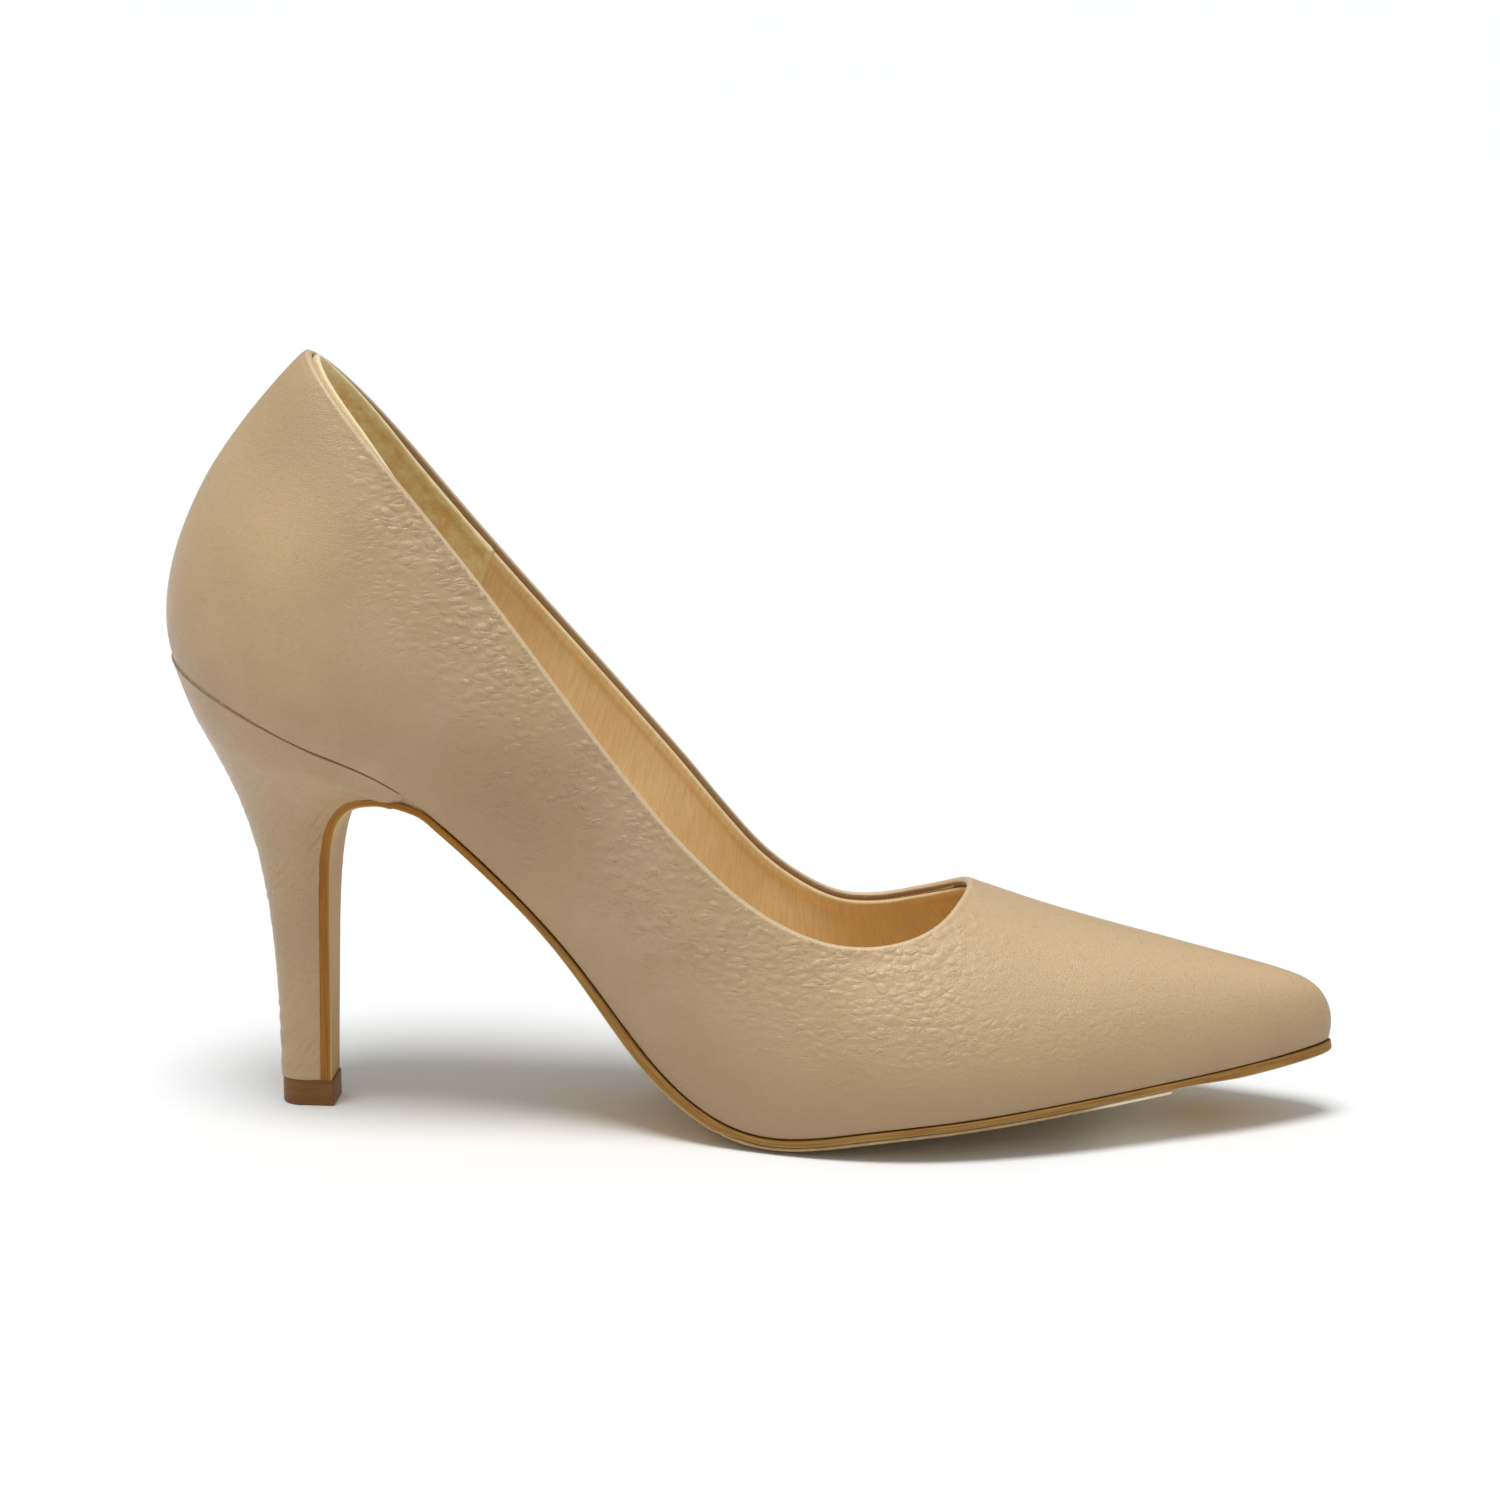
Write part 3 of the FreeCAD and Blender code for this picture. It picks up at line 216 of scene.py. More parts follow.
def bottom_normals(near):
    """Upward normals of the last's bottom, in the lengthwise plane."""
    near = np.clip(near, 0.4, TIP - 0.4)
    ahead = on_rings(near + 0.1)[0] + on_rings(ROUND - near - 0.1)[0]
    behind = on_rings(near - 0.1)[0] + on_rings(ROUND - near + 0.1)[0]
    along = ahead - behind
    return unit(np.stack([-along[..., 2], 0 * along[..., 0], along[..., 0]], -1))


def rise_at_height(station, height):
    """Rise at which the ribs stand a height above the last's bottom."""
    normals = bottom_normals(nearside(station))
    foot = last_points(station, np.zeros_like(station))
    low = np.zeros(station.shape)
    high = np.full(station.shape, 0.6)
    for _ in range(30):
        middle = (low + high) / 2
        below = ((last_points(station, middle) - foot) * normals).sum(-1) < height
        low = np.where(below, middle, low)
        high = np.where(below, high, middle)
    return low


def sag(near):
    """Crown of the bottom across its width, greatest at the ball."""
    return 1.3 * MM * smooth(near, 7.0, 9.5) * smooth(near, 15.0, 10.0)


def feather_inset(station, inset):
    """Points of the feather line moved in along the bottom, square to the outline."""
    station = np.asarray(station, float)
    along = on_rings(station + 0.05)[0] - on_rings(station - 0.05)[0]
    along[..., 2] = 0
    along = unit(along)
    outward = np.stack([along[..., 1], -along[..., 0], 0 * along[..., 0]], -1)
    normal = bottom_normals(nearside(station))
    inset = np.asarray(inset, float)
    points = on_rings(station)[0] - outward * inset[..., None]
    points[..., 2] += outward[..., 0] * inset * normal[..., 0] / normal[..., 2]
    return points - (HEEL_AXIS, 0, 0)


# ---------------------------------------------------------------- random relief

LATTICE = np.random.default_rng(11).random((32, 32, 32)) * 2 - 1


def soft_noise(points, size):
    """Smooth noise from -1 to 1 with bumps about size across. Size may differ per axis."""
    p = points / np.asarray(size)
    whole = np.floor(p).astype(int)
    f = p - whole
    f = f * f * (3 - 2 * f)
    total = np.zeros(p.shape[:-1])
    for corner in np.ndindex(2, 2, 2):
        weight = np.prod(np.where(np.array(corner) == 1, f, 1 - f), axis=-1)
        i, j, k = np.moveaxis((whole + corner) % 32, -1, 0)
        total += weight * LATTICE[i, j, k]
    return total


def cell_creases(points, size):
    """0 on the creases between irregular cells about size across, rising to 1 inside them."""
    p = points / np.asarray(size)
    flat = p.reshape(-1, 3)
    gaps = np.empty(len(flat))
    for i, point in enumerate(flat.tolist()):
        distances, _ = noise.voronoi(point)
        gaps[i] = distances[1] - distances[0]
    return smooth(gaps.reshape(p.shape[:-1]), 0.0, 0.45)


# ---------------------------------------------------------------- meshes


class Build:
    """Gathers grids of points into one mesh with shared vertices where they coincide."""

    def __init__(self):
        self.points = []
        self.faces = []
        self.cloth = []
        self.grain = []
        self.marks = []
        self.count = 0

    def grid(self, points, cloth=None, grain=None, mark=0):
        """Adds a grid [rows, columns, 3]. Cloth is a second pair of coordinates along the material."""
        rows, columns = points.shape[:2]
        index = self.count + np.arange(rows * columns).reshape(rows, columns)
        quads = np.stack([index[:-1, :-1], index[1:, :-1], index[1:, 1:], index[:-1, 1:]], -1)
        quads = quads.reshape(-1, 4)
        self.points.append(points.reshape(-1, 3))
        self.faces.append(quads)
        self.marks.append(np.full(len(quads), mark))
        self.cloth.append(np.zeros((rows * columns, 3)) if cloth is None else cloth.reshape(-1, 3))
        self.grain.append(np.zeros(rows * columns) if grain is None else grain.reshape(-1))
        self.count += rows * columns

    def object(self, name, materials):
        """Makes the mesh object. A face's mark is the index of its material."""
        points = np.concatenate(self.points)
        faces = np.concatenate(self.faces)
        marks = np.concatenate(self.marks)
        keys = np.round(points / (0.002 * MM)).astype(np.int64)
        _, first, same = np.unique(keys, axis=0, return_index=True, return_inverse=True)
        faces = same.reshape(-1)[faces]
        kept = {}
        for face, mark in zip(faces.tolist(), marks.tolist()):
            corners = [v for i, v in enumerate(face) if v != face[i - 1]]
            key = frozenset(corners)
            # two faces on the same corners lie back to back, and both are left out
            if len(corners) == len(key) >= 3 and kept.pop(key, None) is None:
                kept[key] = (corners, mark)
        polygons = [corners for corners, _ in kept.values()]
        slots = [mark for _, mark in kept.values()]
        mesh = bpy.data.meshes.new(name)
        mesh.from_pydata(points[first].tolist(), [], polygons)
        for material in materials:
            mesh.materials.append(material)
        mesh.polygons.foreach_set("material_index", slots)
        mesh.polygons.foreach_set("use_smooth", [True] * len(mesh.polygons))
        layer = mesh.attributes.new("cloth", "FLOAT_VECTOR", "POINT")
        layer.data.foreach_set("vector", np.concatenate(self.cloth)[first].astype(np.float32).ravel())
        layer = mesh.attributes.new("grain", "FLOAT", "POINT")
        layer.data.foreach_set("value", np.concatenate(self.grain)[first].astype(np.float32))
        shape = bmesh.new()
        shape.from_mesh(mesh)
        bmesh.ops.recalc_face_normals(shape, faces=shape.faces)
        shape.to_mesh(mesh)
        shape.free()
        piece = bpy.data.objects.new(name, mesh)
        bpy.context.collection.objects.link(piece)
        return piece


def finish_piece(piece, slot, *nodes):
    """Names the body the piece rides on and the CAD nodes it stands in for. The slot is not used."""
    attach(piece, "root")
    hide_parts(*nodes)


# ---------------------------------------------------------------- materials


class Paint:
    """A procedural material: its node tree, its shader and the object's own coordinates."""

    def __init__(self, name, roughness, specular=0.5, metallic=0.0, sheen=0.0):
        self.material = bpy.data.materials.new(name)
        self.material.use_nodes = True
        self.tree = self.material.node_tree
        self.shader = self.tree.nodes["Principled BSDF"]
        self.shader.inputs["Roughness"].default_value = roughness
        self.shader.inputs["Specular IOR Level"].default_value = specular
        self.shader.inputs["Metallic"].default_value = metallic
        self.shader.inputs["Sheen Weight"].default_value = sheen
        self.shader.inputs["Sheen Roughness"].default_value = 0.5
        self.place = self.add("ShaderNodeTexCoord").outputs["Object"]

    def add(self, kind, settings=None, **inputs):
        node = self.tree.nodes.new(kind)
        for key, value in (settings or {}).items():
            setattr(node, key, value)
        for key, value in inputs.items():
            self.put(node.inputs[key.replace("_", " ")], value)
        return node

    def put(self, socket, value):
        if isinstance(value, bpy.types.NodeSocket):
            self.tree.links.new(value, socket)
        else:
            socket.default_value = value

    def attribute(self, name, output):
        """One of the mesh's own attributes: cloth, along the material, or grain, a share from 0 to 1."""
        return self.add("ShaderNodeAttribute", {"attribute_name": name}).outputs[output]

    def noise(self, size, detail=3.0, roughness=0.55, place=None):
        """Noise from 0 to 1 with features about size metres across."""
        node = self.add("ShaderNodeTexNoise", Vector=place or self.place, Scale=1.0 / size, Detail=detail,
                        Roughness=roughness)
        return node.outputs["Fac"]

    def cells(self, size, place=None, feature="DISTANCE_TO_EDGE"):
        """Distance to the edges of irregular cells about size across, or, with F1, to their centres."""
        node = self.add("ShaderNodeTexVoronoi", {"feature": feature}, Vector=place or self.place,
                        Scale=1.0 / size)
        return node.outputs["Distance"]

    def domes(self, place):
        """Rounded pebbles, 1 at their crowns and 0 in the valleys between them."""
        crown = self.remap(self.cells(1.0, place, "F1"), 0.0, 0.8, 1.0, 0.0)
        valley = self.remap(self.cells(1.0, place), 0.0, 0.2)
        return self.times(crown, self.remap(valley, 0.0, 1.0, 0.55, 1.0))

    def mapped(self, scale, turn=(0, 0, 0), place=None):
        node = self.add("ShaderNodeMapping", Vector=place or self.place, Scale=scale, Rotation=turn)
        return node.outputs["Vector"]

    def sized(self, x, y, z, turn=(0, 0, 0), place=None):
        """Coordinates in which features of this size in metres are 1 across."""
        return self.mapped((1 / x, 1 / y, 1 / z), turn, place)

    def remap(self, value, from_low, from_high, to_low=0.0, to_high=1.0):
        node = self.add("ShaderNodeMapRange", {"interpolation_type": "SMOOTHSTEP"})
        for i, number in enumerate((value, from_low, from_high, to_low, to_high)):
            self.put(node.inputs[i], number)
        return node.outputs[0]

    def times(self, first, second):
        node = self.add("ShaderNodeMath", {"operation": "MULTIPLY"})
        self.put(node.inputs[0], first)
        self.put(node.inputs[1], second)
        return node.outputs[0]

    def mix(self, share, first, second):
        """Colour between two colours, each a tuple or a socket."""
        node = self.add("ShaderNodeMix", {"data_type": "RGBA"})
        self.put(node.inputs["Factor"], share)
        for socket, value in ((node.inputs[6], first), (node.inputs[7], second)):
            self.put(socket, (*value, 1.0) if isinstance(value, tuple) else value)
        return node.outputs[2]

    def separate(self, vector, axis):
        return self.add("ShaderNodeSeparateXYZ", Vector=vector).outputs[axis]

    def spot(self, x, z, radius):
        """1 at a place seen from the side, fading to 0 a radius away."""
        node = self.add("ShaderNodeVectorMath", {"operation": "DISTANCE"})
        self.put(node.inputs[0], self.mapped((1, 0, 1)))
        node.inputs[1].default_value = (x, 0, z)
        return self.remap(node.outputs["Value"], 0.0, radius, 1.0, 0.0)

    def warped(self, reach):
        """The object's coordinates pushed about by noise, up to reach metres each way."""
        noisy = self.add("ShaderNodeTexNoise", Vector=self.place, Scale=1.0 / (4 * MM), Detail=1.0)
        centred = self.add("ShaderNodeVectorMath", {"operation": "SUBTRACT"})
        self.put(centred.inputs[0], noisy.outputs["Color"])
        centred.inputs[1].default_value = (0.5, 0.5, 0.5)
        scaled = self.add("ShaderNodeVectorMath", {"operation": "SCALE"})
        self.put(scaled.inputs[0], centred.outputs[0])
        scaled.inputs["Scale"].default_value = 2 * reach
        total = self.add("ShaderNodeVectorMath", {"operation": "ADD"})
        self.put(total.inputs[0], self.place)
        self.put(total.inputs[1], scaled.outputs[0])
        return total.outputs[0]

    def bump(self, height, depth, normal=None):
        """Relief whose full height is depth metres."""
        node = self.add("ShaderNodeBump", Height=height, Distance=depth, Strength=1.0)
        if normal is not None:
            self.put(node.inputs["Normal"], normal)
        return node.outputs["Normal"]

    def finish(self, color, normal=None, roughness=None):
        """Joins the colour, the relief and, if it varies, the roughness to the shader."""
        self.put(self.shader.inputs["Base Color"], color)
        if normal is not None:
            self.put(self.shader.inputs["Normal"], normal)
        if roughness is not None:
            self.put(self.shader.inputs["Roughness"], roughness)
        return self.material


def upper_leather():
    paint = Paint("upper_leather", 0.42, specular=0.6, sheen=0.05)
    golden, rosy, deep = (0.478, 0.316, 0.158), (0.480, 0.307, 0.178), (0.432, 0.278, 0.143)
    hue = paint.mix(paint.remap(paint.noise(38 * MM, 3.0), 0.38, 0.62), golden, rosy)
    mottled = paint.mix(paint.remap(paint.noise(17 * MM, 4.0), 0.38, 0.72), hue, deep)
    # painted light: surfaces that face up are painted lighter, as if lit from above
    faces_up = paint.separate(paint.add("ShaderNodeTexCoord").outputs["Normal"], "Z")
    painted_top_light = paint.mix(paint.remap(faces_up, -0.25, 0.85, 0.0, 0.85), mottled, (0.68, 0.48, 0.27))
    length = paint.separate(paint.place, "X")
    # painted shade: the leather is painted a little darker low on the forepart, along the sole
    low = paint.times(paint.remap(paint.separate(paint.place, "Z"), 4 * MM, 36 * MM, 0.75, 0.0),
                      paint.remap(length, 30 * MM, 62 * MM))
    # the colour of the painted shade, here and in the first two spots below
    dark = (0.375, 0.232, 0.112)
    shaded = paint.mix(low, painted_top_light, dark)
    # painted shade at the first two places and a painted highlight at the third, on both sides: length,
    # height, radius, how strongly, and with what colour
    painted_spots = ((44 * MM, 68 * MM, 30 * MM, 0.85, dark),
              (2 * MM, 144 * MM, 20 * MM, 0.4, dark),
              (0.4 * MM, 121 * MM, 17 * MM, 0.55, (0.64, 0.44, 0.23)))
    for x, z, radius, strength, tint in painted_spots:
        shaded = paint.mix(paint.times(paint.spot(x, z, radius), strength), shaded, tint)
    speckled = paint.noise(0.9 * MM, 2.0)
    color = paint.mix(paint.remap(speckled, 0.5, 0.75, 0.0, 0.25), shaded, (0.40, 0.25, 0.12))
    # the cloth attribute's third value is the distance from the topline, below 0 inside the fold
    from_edge = paint.separate(paint.attribute("cloth", "Vector"), "Z")
    # painted highlight: a light band along the edge of the topline's fold
    painted_edge_highlight = paint.remap(from_edge, 0.1 * MM, 0.55 * MM, 0.5, 0.0)
    color = paint.mix(painted_edge_highlight, color, (0.80, 0.62, 0.40))
    # painted shade: the leather inside the fold is painted dark brown; the heel cover's turned top edge
    # takes the same colour
    inside = paint.remap(from_edge, -0.2 * MM, -1.0 * MM)
    color = paint.mix(inside, color, (0.30, 0.165, 0.075))
    grain = paint.attribute("grain", "Fac")
    loose = paint.warped(1.0 * MM)
    pores = paint.remap(paint.cells(0.62 * MM), 0.0, 0.22)
    # the pebbles are long beside the heel and rounder towards the throat
    long_domes = paint.domes(paint.sized(2.9 * MM, 2.9 * MM, 1.35 * MM, place=loose))
    round_domes = paint.domes(paint.sized(2.5 * MM, 2.5 * MM, 1.4 * MM, place=loose))
    ahead = paint.remap(length, 75 * MM, 115 * MM)
    long_pebbles = paint.times(long_domes, paint.remap(ahead, 0.0, 1.0, 1.0, 0.0))
    round_pebbles = paint.times(round_domes, ahead)
    tiny = paint.noise(1.0, 3.0, 0.6, paint.sized(1.8 * MM, 1.8 * MM, 0.6 * MM, place=loose))
    fine = paint.bump(tiny, 0.08 * MM, paint.bump(pores, 0.035 * MM))
    wrinkles = paint.noise(1.0, 5.0, 0.62, paint.sized(3.5 * MM, 3.5 * MM, 1.1 * MM, place=loose))
    creased = paint.bump(wrinkles, 0.13 * MM, fine)
    pebbled = paint.bump(paint.times(long_pebbles, grain), 0.42 * MM, creased)
    pebbled = paint.bump(paint.times(round_pebbles, grain), 0.31 * MM, pebbled)
    rough = paint.remap(paint.noise(7 * MM, 3.0), 0.3, 0.7, 0.34, 0.43)
    return paint.finish(color, pebbled, rough)


def lining_leather():
    paint = Paint("lining_leather", 0.62, specular=0.3)
    cloth = paint.attribute("cloth", "Vector")
    cloudy = paint.noise(14 * MM, 4.0)
    base = paint.mix(paint.remap(cloudy, 0.3, 0.7), (0.880, 0.640, 0.320), (0.950, 0.730, 0.400))
    slant = (0, 0, math.radians(38))
    streaks = paint.noise(1.0, 3.0, place=paint.sized(0.55 * MM, 7 * MM, 1.0, slant, cloth))
    # painted shade: the lining is painted darker towards the toe, deep inside the shoe
    forward = paint.remap(paint.separate(paint.place, "X"), 92 * MM, 120 * MM, 0.0, 0.45)
    shaded = paint.mix(forward, base, (0.70, 0.48, 0.23))
    color = paint.mix(paint.remap(streaks, 0.35, 0.7, 0.0, 0.35), shaded, (0.64, 0.43, 0.19))
    lines = paint.bump(streaks, 0.05 * MM)
    pores = paint.bump(paint.remap(paint.cells(0.5 * MM), 0.0, 0.25), 0.012 * MM, lines)
    return paint.finish(color, pores)


def grip_suede():
    paint = Paint("grip_suede", 0.95, specular=0.12, sheen=0.9)
    nap = paint.noise(3.0 * MM, 6.0, 0.65)
    base = paint.mix(paint.remap(nap, 0.33, 0.67), (0.87, 0.61, 0.22), (1.0, 0.85, 0.46))
    fibres = paint.noise(0.35 * MM, 4.0, 0.7)
    color = paint.mix(paint.remap(fibres, 0.4, 0.75, 0.0, 0.38), base, (0.60, 0.38, 0.12))
    # the grain attribute paints the top edge and the ends paler: partly the suede's trimmed edge, partly
    # painted highlight, strongest on the outer side
    edge = paint.attribute("grain", "Fac")
    with_trim_and_highlight = paint.mix(edge, color, (0.97, 0.84, 0.52))
    return paint.finish(with_trim_and_highlight, paint.bump(fibres, 0.12 * MM, paint.bump(nap, 0.25 * MM)))


def sole_edge():
    paint = Paint("sole_edge", 0.45, specular=0.25)
    cloth = paint.attribute("cloth", "Vector")
    streaks = paint.noise(1.0, 4.0, place=paint.sized(12 * MM, 0.45 * MM, 1.0, place=cloth))
    forward = paint.remap(paint.separate(paint.place, "X"), 25 * MM, 60 * MM)
    darker = paint.mix(forward, (0.28, 0.102, 0.006), (0.255, 0.118, 0.022))
    lighter = paint.mix(forward, (0.39, 0.158, 0.010), (0.390, 0.205, 0.050))
    base = paint.mix(paint.remap(streaks, 0.35, 0.7), darker, lighter)
    lower = paint.attribute("grain", "Fac")
    color = paint.mix(lower, base, (0.62, 0.44, 0.20))
    return paint.finish(color, paint.bump(streaks, 0.06 * MM))


def sole_leather():
    paint = Paint("sole_leather", 0.5, specular=0.35)
    cloudy = paint.noise(12 * MM, 5.0)
    base = paint.mix(paint.remap(cloudy, 0.3, 0.7), (0.49, 0.272, 0.050), (0.59, 0.345, 0.078))
    fibres = paint.noise(0.8 * MM, 5.0, 0.65)
    color = paint.mix(paint.remap(fibres, 0.45, 0.8, 0.0, 0.4), base, (0.36, 0.195, 0.04))
    pores = paint.bump(paint.remap(paint.cells(0.8 * MM), 0.0, 0.2), 0.02 * MM)
    return paint.finish(color, paint.bump(fibres, 0.03 * MM, pores))


def tread_rubber():
    paint = Paint("tread_rubber", 0.55, specular=0.4)
    speckled = paint.noise(1.5 * MM, 4.0)
    color = paint.mix(paint.remap(speckled, 0.35, 0.7), (0.37, 0.235, 0.10), (0.46, 0.31, 0.14))
    # painted highlight: the tread's front is painted pale where its lower bevel catches the light
    skived = paint.remap(paint.separate(paint.place, "X"), 157 * MM, 165 * MM)
    color = paint.mix(skived, color, (0.86, 0.72, 0.52))
    studs = paint.cells(1.6 * MM, feature="F1")
    return paint.finish(color, paint.bump(paint.remap(studs, 0.25, 0.5, 1.0, 0.0), 0.08 * MM))


def toppiece_plastic():
    paint = Paint("toppiece_plastic", 0.45, specular=0.4)
    swirl = paint.noise(1.0, 4.0, place=paint.sized(8 * MM, 8 * MM, 1.2 * MM))
    color = paint.mix(paint.remap(swirl, 0.3, 0.7), (0.175, 0.064, 0.007), (0.235, 0.094, 0.012))
    return paint.finish(color, paint.bump(paint.noise(0.6 * MM, 3.0), 0.03 * MM))


def plain_stock(name, roughness, dark, light, size, depth, metallic=0.0):
    """A mottled material with relief of one size."""
    paint = Paint(name, roughness, metallic=metallic)
    speckled = paint.noise(size, 5.0, 0.6)
    color = paint.mix(paint.remap(speckled, 0.35, 0.7), dark, light)
    return paint.finish(color, paint.bump(speckled, depth))


def woven_cloth():
    paint = Paint("interlining_cloth", 0.9, specular=0.2)
    warp = paint.add("ShaderNodeTexWave", {"bands_direction": "X"}, Vector=paint.place, Scale=500.0)
    weft = paint.add("ShaderNodeTexWave", {"bands_direction": "Z"}, Vector=paint.place, Scale=500.0)
    weave = paint.times(warp.outputs["Fac"], weft.outputs["Fac"])
    color = paint.mix(weave, (0.70, 0.66, 0.57), (0.84, 0.80, 0.72))
    return paint.finish(color, paint.bump(weave, 0.05 * MM))


LEATHER = upper_leather()
LINING = lining_leather()
SUEDE = grip_suede()
SOLE_EDGE = sole_edge()
SOLE = sole_leather()
TREAD = tread_rubber()
TOPPIECE = toppiece_plastic()

# Every material slot of the CAD record. The last seven belong to pieces that the shells hide.
SLOT_MATERIALS = {
    "upper_leather": LEATHER,
    "lining_leather": LINING,
    "grip_suede": SUEDE,
    "sole_leather": SOLE,
    "tread_rubber": TREAD,
    "toppiece_plastic": TOPPIECE,
    "stiffener": plain_stock("stiffener", 0.6, (0.66, 0.62, 0.52), (0.74, 0.70, 0.60), 2 * MM, 0.02 * MM),
    "interlining_cloth": woven_cloth(),
    "foam": plain_stock("foam", 0.9, (0.72, 0.66, 0.36), (0.80, 0.74, 0.44), 0.7 * MM, 0.1 * MM),
    "fibre_board": plain_stock("fibre_board", 0.8, (0.28, 0.20, 0.12), (0.38, 0.28, 0.18), MM, 0.04 * MM),
    "cork": plain_stock("cork", 0.85, (0.28, 0.15, 0.07), (0.46, 0.29, 0.15), 1.5 * MM, 0.1 * MM),
    "steel": plain_stock("steel", 0.3, (0.50, 0.50, 0.51), (0.60, 0.60, 0.61), 0.8 * MM, 0.005 * MM, 1.0),
    "heel_plastic": plain_stock("heel_plastic", 0.5, (0.70, 0.64, 0.52), (0.74, 0.68, 0.57), 6 * MM,
                                0.01 * MM),
}

# ---------------------------------------------------------------- shells over the last

LEATHER_GAUGE = 1.1 * MM
FOLD_GAUGE = 1.9 * MM          # the topline is folded over, so its edge is thicker
LINING_TOP = 1.15 * MM         # the lining's edge stands this far below the fold's
LINING_DEPTH = (1.95 * MM, 2.6 * MM)
STACK_TOP = 4.35 * MM          # the pieces inside the shoe stand this high above the last's bottom
TOP_BAND = 14 * MM             # a shell's edge is pulled down within this distance of the topline
MARGIN_WIDTH = 12 * MM


def quarter_stations(q):
    """Feather and topline stations of the ribs; q runs from 0, the outer throat, by 1, the back, to 2."""
    share = np.where(q <= 1, q, 2 - q)
    foot = VAMP_FOOT * (1 - share)
    top = THROAT * (1 - 1.15 * share * share / (share + 0.15))
    return np.where(q > 1, ROUND - foot, foot), np.where(q > 1, ROUND - top, top)


def topline_points(q):
    """Points of the last on the opening's edge."""
    top = quarter_stations(q % 2)[1]
    return last_points(top, topline_rise(top))


# Along the ridge at the throat, out of the leather and into the opening.
THROAT_UP = unit(np.cross(last_normals(THROAT, 1.0), (0.0, 1.0, 0.0)))
THROAT_UP = THROAT_UP * -np.sign(THROAT_UP[0])


class Patch:
    """A grid [row, column] of the last's surface, its rows running up from the feather."""

    def measure(self):
        """The patch's points and normals, and each point's distances from the last row and the first."""
        self.points = last_points(self.station, self.rise)
        self.normals = last_normals(self.station, self.rise)
        legs = np.linalg.norm(np.diff(self.points, axis=0), axis=-1)
        self.drop = np.concatenate([np.cumsum(legs[::-1], axis=0)[::-1], 0 * legs[:1]])
        self.height = np.concatenate([0 * legs[:1], np.cumsum(legs, axis=0)])

    def lowered(self, drop):
        """The grid pulled back from the topline, so that its last row is a drop below it."""
        pull = drop * smooth(self.drop, TOP_BAND, 0.0) * self.fade
        return self.points - self.up * pull[..., None]


class Quarter(Patch):
    """The last behind the throat, from the outer throat round the back to the inner throat."""

    fade = 1.0

    def __init__(self, q, v, foot_height=0.0):
        foot, top = quarter_stations(q)
        rise = topline_rise(top)
        low = rise_at_height(foot, foot_height) if foot_height > 0 else 0 * foot
        self.station = foot + (top - foot) * v[:, None]
        self.rise = low + (rise - low) * v[:, None]
        self.measure()
        self.edge = last_points(top, rise)
        tangent = topline_points(q + 1e-3) - topline_points(q - 1e-3)
        self.up = unit(np.cross(unit(tangent), self.normals[-1]))
        self.up *= np.sign((self.up * (self.edge - self.points[len(v) // 2])).sum(-1))[:, None]
        at_throat = (np.minimum(q, 2 - q) < 0.004)[:, None]
        self.up = np.where(at_throat, THROAT_UP, self.up)
        walk = np.linalg.norm(np.diff(self.edge, axis=0), axis=-1)
        self.along = np.concatenate([[0.0], np.cumsum(walk)])

    def cloth(self):
        """Distances along the topline and down from it."""
        return np.stack([np.broadcast_to(self.along, self.drop.shape), self.drop, 0 * self.drop], -1)


class Vamp(Patch):
    """The last ahead of the throat on one side, up to the ridge."""

    def __init__(self, side, u, v, foot_height=0.0):
        start = VAMP_FOOT + (THROAT - VAMP_FOOT) * v[:, None]
        near = start + (TIP - start) * u
        foot_near = VAMP_FOOT + (TIP - VAMP_FOOT) * u
        foot = foot_near if side < 0 else ROUND - foot_near
        low = rise_at_height(foot, foot_height) if foot_height > 0 else 0 * foot
        self.station = near if side < 0 else ROUND - near
        self.rise = low + (1 - low) * v[:, None]
        self.measure()
        self.fade = smooth(u, 0.22, 0.0)
        self.up = THROAT_UP

    def cloth(self):
        """Distances forward from the throat and down from the ridge."""
        return np.stack([self.points[..., 0] - self.points[0, 0, 0], self.drop, 0 * self.drop], -1)


def fold_share(drop):
    """Share of the folded edge's extra thickness left at a distance below the edge."""
    return smooth(drop, 4.8 * MM, 3.4 * MM)


def margin_points(station, share, lift):
    """Lasting margin turned in under the foot: share runs from 0 at the feather to 1 at its cut edge."""
    near = nearside(station)
    spine_near = np.clip(near, 3.0, 13.8)
    spine = (on_rings(spine_near)[0] + on_rings(ROUND - spine_near)[0]) / 2
    foot = on_rings(station)[0]
    reach = np.minimum(MARGIN_WIDTH / np.linalg.norm(spine - foot, axis=-1), 0.6)
    normal = bottom_normals(near)
    point = foot + (spine - foot) * (reach * share)[..., None]
    sunk = sag(near) * reach * share * (2 - reach * share)
    return point + normal * (lift - sunk)[..., None] - (HEEL_AXIS, 0, 0)


# ---------------------------------------------------------------- the upper


def leather_masks(points, drop):
    """How strongly the hide is pebbled (0 to 1) at points a distance below the topline."""
    x = points[..., 0]
    lengthwise = smooth(x, 6 * MM, 32 * MM) * smooth(x, 150 * MM, 122 * MM)
    band = smooth(drop, 34 * MM, 12 * MM) * smooth(drop, 0.1 * MM, 0.8 * MM)
    patchy = 0.85 + 0.45 * soft_noise(points, 14 * MM)
    z = points[..., 2]
    ahead = 0.35 * smooth(x, 120 * MM, 140 * MM) * smooth(x, 185 * MM, 160 * MM)
    ahead = ahead * smooth(z, 32 * MM, 26 * MM) * smooth(z, 16 * MM, 21 * MM)
    return np.clip(lengthwise * band * patchy + ahead, 0.0, 1.0)


def nearest_distances(points, targets):
    """Distance from each point to the nearest of the targets."""
    tree = kdtree.KDTree(len(targets))
    for i, target in enumerate(targets.tolist()):
        tree.insert(target, i)
    tree.balance()
    flat = points.reshape(-1, 3).tolist()
    return np.array([tree.find(point)[2] for point in flat]).reshape(points.shape[:-1])


